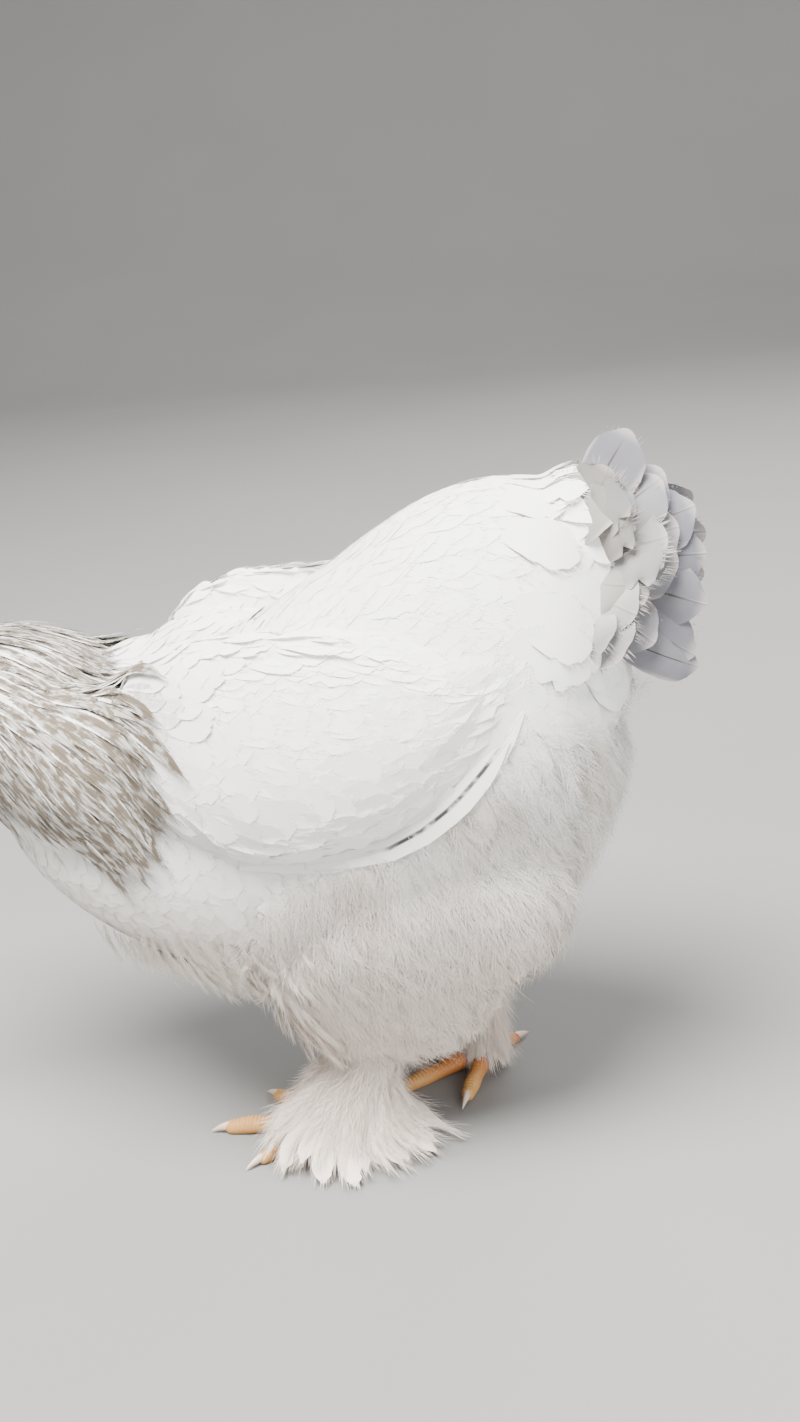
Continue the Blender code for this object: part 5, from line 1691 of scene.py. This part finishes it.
def make_eyes():
    for name, side in SIDES.items():
        centre = on_head(EYE_AT[0], side * EYE_AT[1], EYE_AT[2])
        points, faces = globe(centre, (EYE_RADIUS,) * 3, 40, 48)
        mesh = closed_mesh("eye", points, faces)
        away = np.array([-0.10, side, 0.02])
        out = unit(points - centre) @ unit(away)
        write_trait(mesh, "iris", np.sqrt(np.maximum(1 - out**2, 0)) + 2 * (out < 0))
        set_piece(f"eyeball_{name}", mesh, "eye", ["eye_" + name])


def make_lids():
    """A smooth rim along the lids of each eye."""
    for name, side in SIDES.items():
        points, faces = lid_ring(side, 0.00062, 1.05)
        mesh = closed_mesh("lids", points, faces)
        set_piece(f"eyelids_{name}", mesh, "comb")


def make_comb():
    """Pea comb: three low rows of knobs on one base."""
    shapes = [head_ball(COMB_AT, COMB_RADII, COMB_TILT)]
    for row, count, back, raised, size in COMB_ROWS:
        for i in range(count):
            u = COMB_FRONT - KNOB_STEP * i - back
            arch = 0.0028 * math.sin(math.pi * (i + 0.7) / count)
            rise = KNOB_HEIGHT + raised + arch - max(0.0, u - 0.008) * 0.42
            shapes.append(head_ball((u, row * ROW_STEP, rise), (size * 0.88, size * 0.80, size * 1.25), 0.2))
    mesh = melted("pea_comb", shapes, COMB_VOXEL, 3)
    swell(mesh, 0.00018, 0.0022, 5)
    set_piece("pea_comb", mesh, "comb", ["comb"])


def make_wattles():
    """Wattles and earlobes, each melted from a few flat balls."""
    for name, side in SIDES.items():
        for fold, (balls, wave) in FOLDS.items():
            shapes = [head_ball((u, side * v, w), radii, tilt) for (u, v, w), radii, tilt in balls]
            mesh = melted(fold, shapes, COMB_VOXEL, 4)
            swell(mesh, *wave)
            set_piece(f"{fold}_fold_{name}", mesh, "comb", [f"{fold}_{name}"])


HEAD_COAT_AT = (-0.385, -0.360, -0.338)  # x, from the crown to the nape, of the measures of the head's coat


def grow_head_feathers(head):
    """Small flat feathers on the crown, the nape, behind the cheeks and under the throat, and bristles."""
    kinds = patterns(vane_pattern, range(90, 94), LANCE, 5, 2, 14, camber=0.2, barb_reach=0.12)
    bristles = patterns(plume_pattern, range(95, 98), 3, width=0.03, angles=(20, 50))

    def allowed(places, normals):
        forward, out, up = off_head(places)
        clear = (forward < 0.017) & (places[:, 0] < -0.334)
        under_comb = (np.abs(out) < 0.0045) & (up > 0.012) & (forward > -0.008)
        return (1 - bare_share(places)) * clear * ~under_comb

    def flow(places, outs):
        x, y, z = places.T
        return np.stack([np.ones(len(x)), 0.15 * np.sign(y), -0.25 - 0.5 * np.abs(outs[:, 1])], 1)

    def mark(places):
        return rise_between(places[:, 0], -0.372, -0.345) * 0.9

    def on_face(places, normals):
        forward, out, up = off_head(places)
        off_eye = ((forward - EYE_AT[0]) / 0.0075) ** 2 + ((up - EYE_AT[2]) / 0.0065) ** 2 > 1
        return bare_share(places) * (forward < 0.020) * (np.abs(out) > 0.004) * off_eye

    grow("head_feathers", "hackle", head, kinds,
         spacing=graded(0, HEAD_COAT_AT, (0.0010, 0.0017, 0.0030)), allowed=allowed,
         length=graded(0, HEAD_COAT_AT, (0.0036, 0.0080, 0.020)),
         half_width=graded(0, HEAD_COAT_AT, (0.0008, 0.0015, 0.0028)), flow=flow, seed=401,
         lift=(0.0001, 0.0015), mark=mark, depth=0.2, sway=0.12)
    grow("face_bristles", "white", head, bristles, spacing=0.0028, allowed=on_face, length=0.0026,
         half_width=0.0006, flow=flow, seed=431, lift=(0.0, 0.0006), sway=0.3)


# Feet: each toe is an angle from the foot's own direction, a length, a base radius and a tip radius, the
# height at which it starts, and the half waves of its pads

TOES = {
    "inner": (-42, 0.052, 0.0066, 0.0052, 0.0085, 5),
    "middle": (0, 0.066, 0.0072, 0.0054, 0.0085, 5),
    "outer": (42, 0.053, 0.0064, 0.0050, 0.0085, 5),
    "hind": (168, 0.026, 0.0058, 0.0046, 0.0125, 3),
}
PLATE_DEPTH = 0.86  # height of a plate against its width
PLATE_LENGTH = 0.78  # half length of a plate against the step from one to the next
PLATE_STEP = {"inner": 0.0024, "middle": 0.0024, "outer": 0.0024, "hind": 0.0021}
FOOT_MIDDLE = (0.0092, (0.0122, 0.0112, 0.0098))  # height and radii of the ball of the foot
ANKLE_RADIUS = 0.0082
TOE_VOXEL = 0.0009
CLAW_LENGTH = 0.0145
CLAW_TIP_HEIGHT = 0.0004


def toe_line(name, foot, count=46):
    """Centre line and radii of one toe, thicker over its pads, and its direction on the floor."""
    (x, y), heading = FEET[foot]
    turn, length, base, tip, start_height, pads = TOES[name]
    angle = heading + SIDES[foot] * -math.radians(turn)
    way = np.array([math.cos(angle), math.sin(angle), 0])
    t = np.linspace(0, 1, count)
    radii = (base + (tip - base) * t) * (0.94 + 0.07 * np.cos(t * math.pi * pads))
    height = start_height * (1 - t) ** 2 + radii * 0.84 * (1 - (1 - t) ** 2)
    path = np.stack([x + way[0] * length * t, y + way[1] * length * t, height], 1)
    return path, radii, way


def scute_tree():
    """Geometry nodes that set overlapping plates along a line, as wide as the line's own size, and the
    sockets for the plates' sizes."""
    tree = bpy.data.node_groups.new("scute_rows", "GeometryNodeTree")
    face = tree.interface
    face.new_socket("Geometry", in_out="INPUT", socket_type="NodeSocketGeometry")
    sockets = {}
    for name in ("Step", "Length", "Thickness"):
        sockets[name] = face.new_socket(name, in_out="INPUT", socket_type="NodeSocketFloat").identifier
    face.new_socket("Geometry", in_out="OUTPUT", socket_type="NodeSocketGeometry")

    def node(kind, given=(), **settings):
        made = tree.nodes.new(kind)
        for setting, value in settings.items():
            setattr(made, setting, value)
        for socket, value in dict(given).items():
            made.inputs[socket].default_value = value
        return made

    line, result = node("NodeGroupInput"), node("NodeGroupOutput")
    curve = node("GeometryNodeMeshToCurve")
    steps = node("GeometryNodeResampleCurve", mode="LENGTH")
    plate = node("GeometryNodeMeshUVSphere", {"Segments": 16, "Rings": 10, "Radius": 1.0})
    size = node("GeometryNodeInputNamedAttribute", {"Name": "size"}, data_type="FLOAT")
    scale = node("ShaderNodeCombineXYZ")
    long = node("ShaderNodeMath", operation="MULTIPLY")
    thick = node("ShaderNodeMath", operation="MULTIPLY")
    tangent = node("GeometryNodeInputTangent")
    align = node("FunctionNodeAxesToRotation", {"Secondary Axis": (0, 0, 1)}, primary_axis="X",
                 secondary_axis="Z")
    plates = node("GeometryNodeInstanceOnPoints")
    real = node("GeometryNodeRealizeInstances")
    paint = node("GeometryNodeSetMaterial", {"Material": LOOKS["toe"][0]})
    for source, outlet, target, inlet in (
        (line, "Geometry", curve, "Mesh"),
        (curve, "Curve", steps, "Curve"),
        (line, "Step", steps, "Length"),
        (line, "Step", long, 0),
        (line, "Length", long, 1),
        (size, "Attribute", thick, 0),
        (line, "Thickness", thick, 1),
        (long, 0, scale, "X"),
        (size, "Attribute", scale, "Y"),
        (thick, 0, scale, "Z"),
        (tangent, "Tangent", align, "Primary Axis"),
        (steps, "Curve", plates, "Points"),
        (plate, "Mesh", plates, "Instance"),
        (align, "Rotation", plates, "Rotation"),
        (scale, "Vector", plates, "Scale"),
        (plates, "Instances", real, "Geometry"),
        (real, "Geometry", paint, "Geometry"),
        (paint, "Geometry", result, "Geometry"),
    ):
        tree.links.new(source.outputs[outlet], target.inputs[inlet])
    return tree, sockets


def scutes_along(tree, sockets, path, widths, step):
    """The plates of one toe, as points and faces."""
    mesh = bpy.data.meshes.new("scute_line")
    mesh.from_pydata([tuple(p) for p in path], [(i, i + 1) for i in range(len(path) - 1)], [])
    write_trait(mesh, "size", widths)
    made = in_scene("scute_line", mesh)
    modifier = made.modifiers.new("scutes", "NODES")
    modifier.node_group = tree
    for name, value in (("Step", step), ("Length", PLATE_LENGTH), ("Thickness", PLATE_DEPTH)):
        modifier[sockets[name]] = value
    plates = worked_out(made)
    return points_of(plates), faces_of(plates)


def make_feet():
    tree, sockets = scute_tree()
    for foot in SIDES:
        (x, y), _ = FEET[foot]
        height, radii = FOOT_MIDDLE
        flesh, plates = [globe((x, y, height), radii, 16, 24)], []
        heights = np.linspace(0.030, 0.010, 6)
        flesh.append(loft(rounded_tube([shank_axis(foot, z) for z in heights], np.full(6, ANKLE_RADIUS), 24)))
        for toe in TOES:
            path, radii, way = toe_line(toe, foot)
            flesh.append(loft(rounded_tube(path, radii * 0.97, 24)))
            top = path + UP * (radii * 0.30)[:, None]
            plates.append(scutes_along(tree, sockets, top[5:], radii[5:] * 0.92, PLATE_STEP[toe]))
            make_claw(f"{foot}_{toe}", path[-1], radii[-1], way)
        mesh = melted("toes", flesh, TOE_VOXEL, 3)
        place_points(mesh, points_of(mesh), 0.0)
        set_piece(f"toes_{foot}", mesh, "toe", ["foot_" + foot])
        points, faces = joined(plates)
        points[:, 2] = np.maximum(points[:, 2], 0.0)
        set_piece(f"scutes_{foot}", closed_mesh("scutes", points, faces), "toe")


def make_claw(name, root, radius, way):
    """A curved, tapering claw that starts inside the end of its toe."""
    t = np.linspace(0, 1, 20)
    drop = (root[2] - CLAW_TIP_HEIGHT) * t**2
    path = root + way * (CLAW_LENGTH * t - 0.0005)[:, None] + UP * (0.0012 - drop)[:, None]
    radii = radius * (0.66 * (1 - t**1.6) + 0.05)
    path[:, 2] = np.maximum(path[:, 2], radii * 0.9)
    points, faces = loft(rounded_tube(path, radii, 16, 0.78))
    points[:, 2] = np.maximum(points[:, 2], 0.0)
    mesh = closed_mesh("claw", points, faces)
    set_piece("nail_" + name, mesh, "claw", ["claw_" + name])


# Stage: pale floor that curves up behind, soft lights and the photograph's point of view

LOOK_AT = np.array([0.0, 0.0, 0.2722])
AZIMUTH, ELEVATION, ROLL = (math.radians(angle) for angle in (8, 20, 6))
DISTANCE = 1.0625
LENS = 43.04
SENSOR_WIDTH = 36.0
NEAREST = 0.01  # distance from the camera at which things begin to show
FLOOR_COLOURS = ((0.225, 0.222, 0.215), (0.25, 0.247, 0.24))
FLOOR_HALF_WIDTH = 9.0
FLOOR_FRONT = 6.0
FLOOR_DEPTH = 3.0
FLOOR_BEND = 1.5
FLOOR_TOP = 5.0
BEND_STEPS = 12
LIGHT_TARGET = Vector((0.05, 0.0, 0.22))
LIGHTS = [  # name, place, size, power, tint
    ("key", (-0.3, -0.8, 2.6), 1.6, 365.0, (1.0, 0.982, 0.95)),
    ("fill", (1.8, -2.0, 0.9), 1.8, 60.0, (0.97, 0.98, 1.0)),
    ("back", (0.6, 1.8, 1.9), 1.4, 70.0, (1.0, 0.99, 0.98)),
]
SKY_TINT = (0.95, 0.955, 0.98, 1)
SKY_STRENGTH = 0.60


def make_camera():
    a, e, r = AZIMUTH, ELEVATION, ROLL
    back = np.array([math.sin(a) * math.cos(e), -math.cos(a) * math.cos(e), math.sin(e)])
    right = np.array([math.cos(a), math.sin(a), 0.0])
    up = np.cross(back, right)
    turned_right = right * math.cos(r) - up * math.sin(r)
    turned_up = right * math.sin(r) + up * math.cos(r)
    lens = bpy.data.cameras.new("camera")
    lens.lens = LENS
    lens.sensor_width = SENSOR_WIDTH
    lens.clip_start = NEAREST
    camera = in_scene("camera", lens)
    place = LOOK_AT - ORIGIN + back * DISTANCE
    turn = Matrix(np.column_stack([turned_right, turned_up, back]).tolist())
    camera.matrix_world = Matrix.Translation(Vector(place)) @ turn.to_4x4()
    bpy.context.scene.camera = camera


def make_floor():
    recipe = Recipe("pale_floor", 0.85, Specular_IOR_Level=0.2)
    finish = recipe.done(recipe.mix(recipe.noise(3.0, 2.0), *FLOOR_COLOURS))
    profile = [(-FLOOR_FRONT, 0.0), (FLOOR_DEPTH, 0.0)]
    for i in range(1, BEND_STEPS + 1):
        a = i / BEND_STEPS * math.pi / 2
        profile.append((FLOOR_DEPTH + FLOOR_BEND * math.sin(a), FLOOR_BEND - FLOOR_BEND * math.cos(a)))
    profile.append((FLOOR_DEPTH + FLOOR_BEND, FLOOR_TOP))
    points = [(x, y, z) for y, z in profile for x in (-FLOOR_HALF_WIDTH, FLOOR_HALF_WIDTH)]
    faces = [(2 * i, 2 * i + 1, 2 * i + 3, 2 * i + 2) for i in range(len(profile) - 1)]
    mesh = bpy.data.meshes.new("floor")
    mesh.from_pydata(points, [], faces)
    mesh.shade_smooth()
    mesh.materials.append(finish)
    in_scene("floor", mesh)


def make_lights():
    for name, place, size, power, tint in LIGHTS:
        lamp = bpy.data.lights.new(name, "AREA")
        lamp.shape = "DISK"
        lamp.size = size
        lamp.energy = power
        lamp.color = tint
        turn = (Vector(place) - LIGHT_TARGET).to_track_quat("Z", "Y").to_matrix().to_4x4()
        in_scene(name, lamp).matrix_world = Matrix.Translation(Vector(place)) @ turn
    world = bpy.data.worlds.new("soft_sky")
    world.use_nodes = True
    sky = world.node_tree.nodes["Background"]
    sky.inputs["Color"].default_value = SKY_TINT
    sky.inputs["Strength"].default_value = SKY_STRENGTH
    bpy.context.scene.world = world


def one_skin(body, head):
    """Body and head as one skin, with where it is bare and where it is dusky."""
    spots, head_spots = points_of(body), points_of(head)
    bare = np.concatenate([np.zeros(len(spots)), soften_mask(head, bare_share(head_spots))])
    dusk = np.concatenate([hackle_share(spots), np.zeros(len(head_spots))])
    points, faces = joined([(spots, faces_of(body)), (head_spots, faces_of(head))])
    skin = bpy.data.meshes.new("skin")
    skin.from_pydata([tuple(p) for p in points], [], faces)
    write_trait(skin, "bare", bare)
    write_trait(skin, "dusk", dusk)
    return skin


def main():
    body = make_body()
    skin = surface_from(body)
    grow_body_coat(skin)
    grow_fluff(skin)
    grow_hackle(skin)
    grow_fringe(skin)
    grow_wings(skin)
    grow_tail()
    grow_shanks()
    head = make_head_skin()
    head_skin = surface_from(head)
    grow_head_feathers(head_skin)
    make_bill()
    make_eyes()
    make_lids()
    make_comb()
    make_wattles()
    make_feet()
    flesh = ["torso", "neck", "tail", "head"]
    for name in SIDES:
        flesh += ["wing_" + name, "thigh_" + name, "shank_" + name]
    set_piece("skin", one_skin(body, head), "skin", flesh)
    make_camera()
    make_floor()
    make_lights()


main()
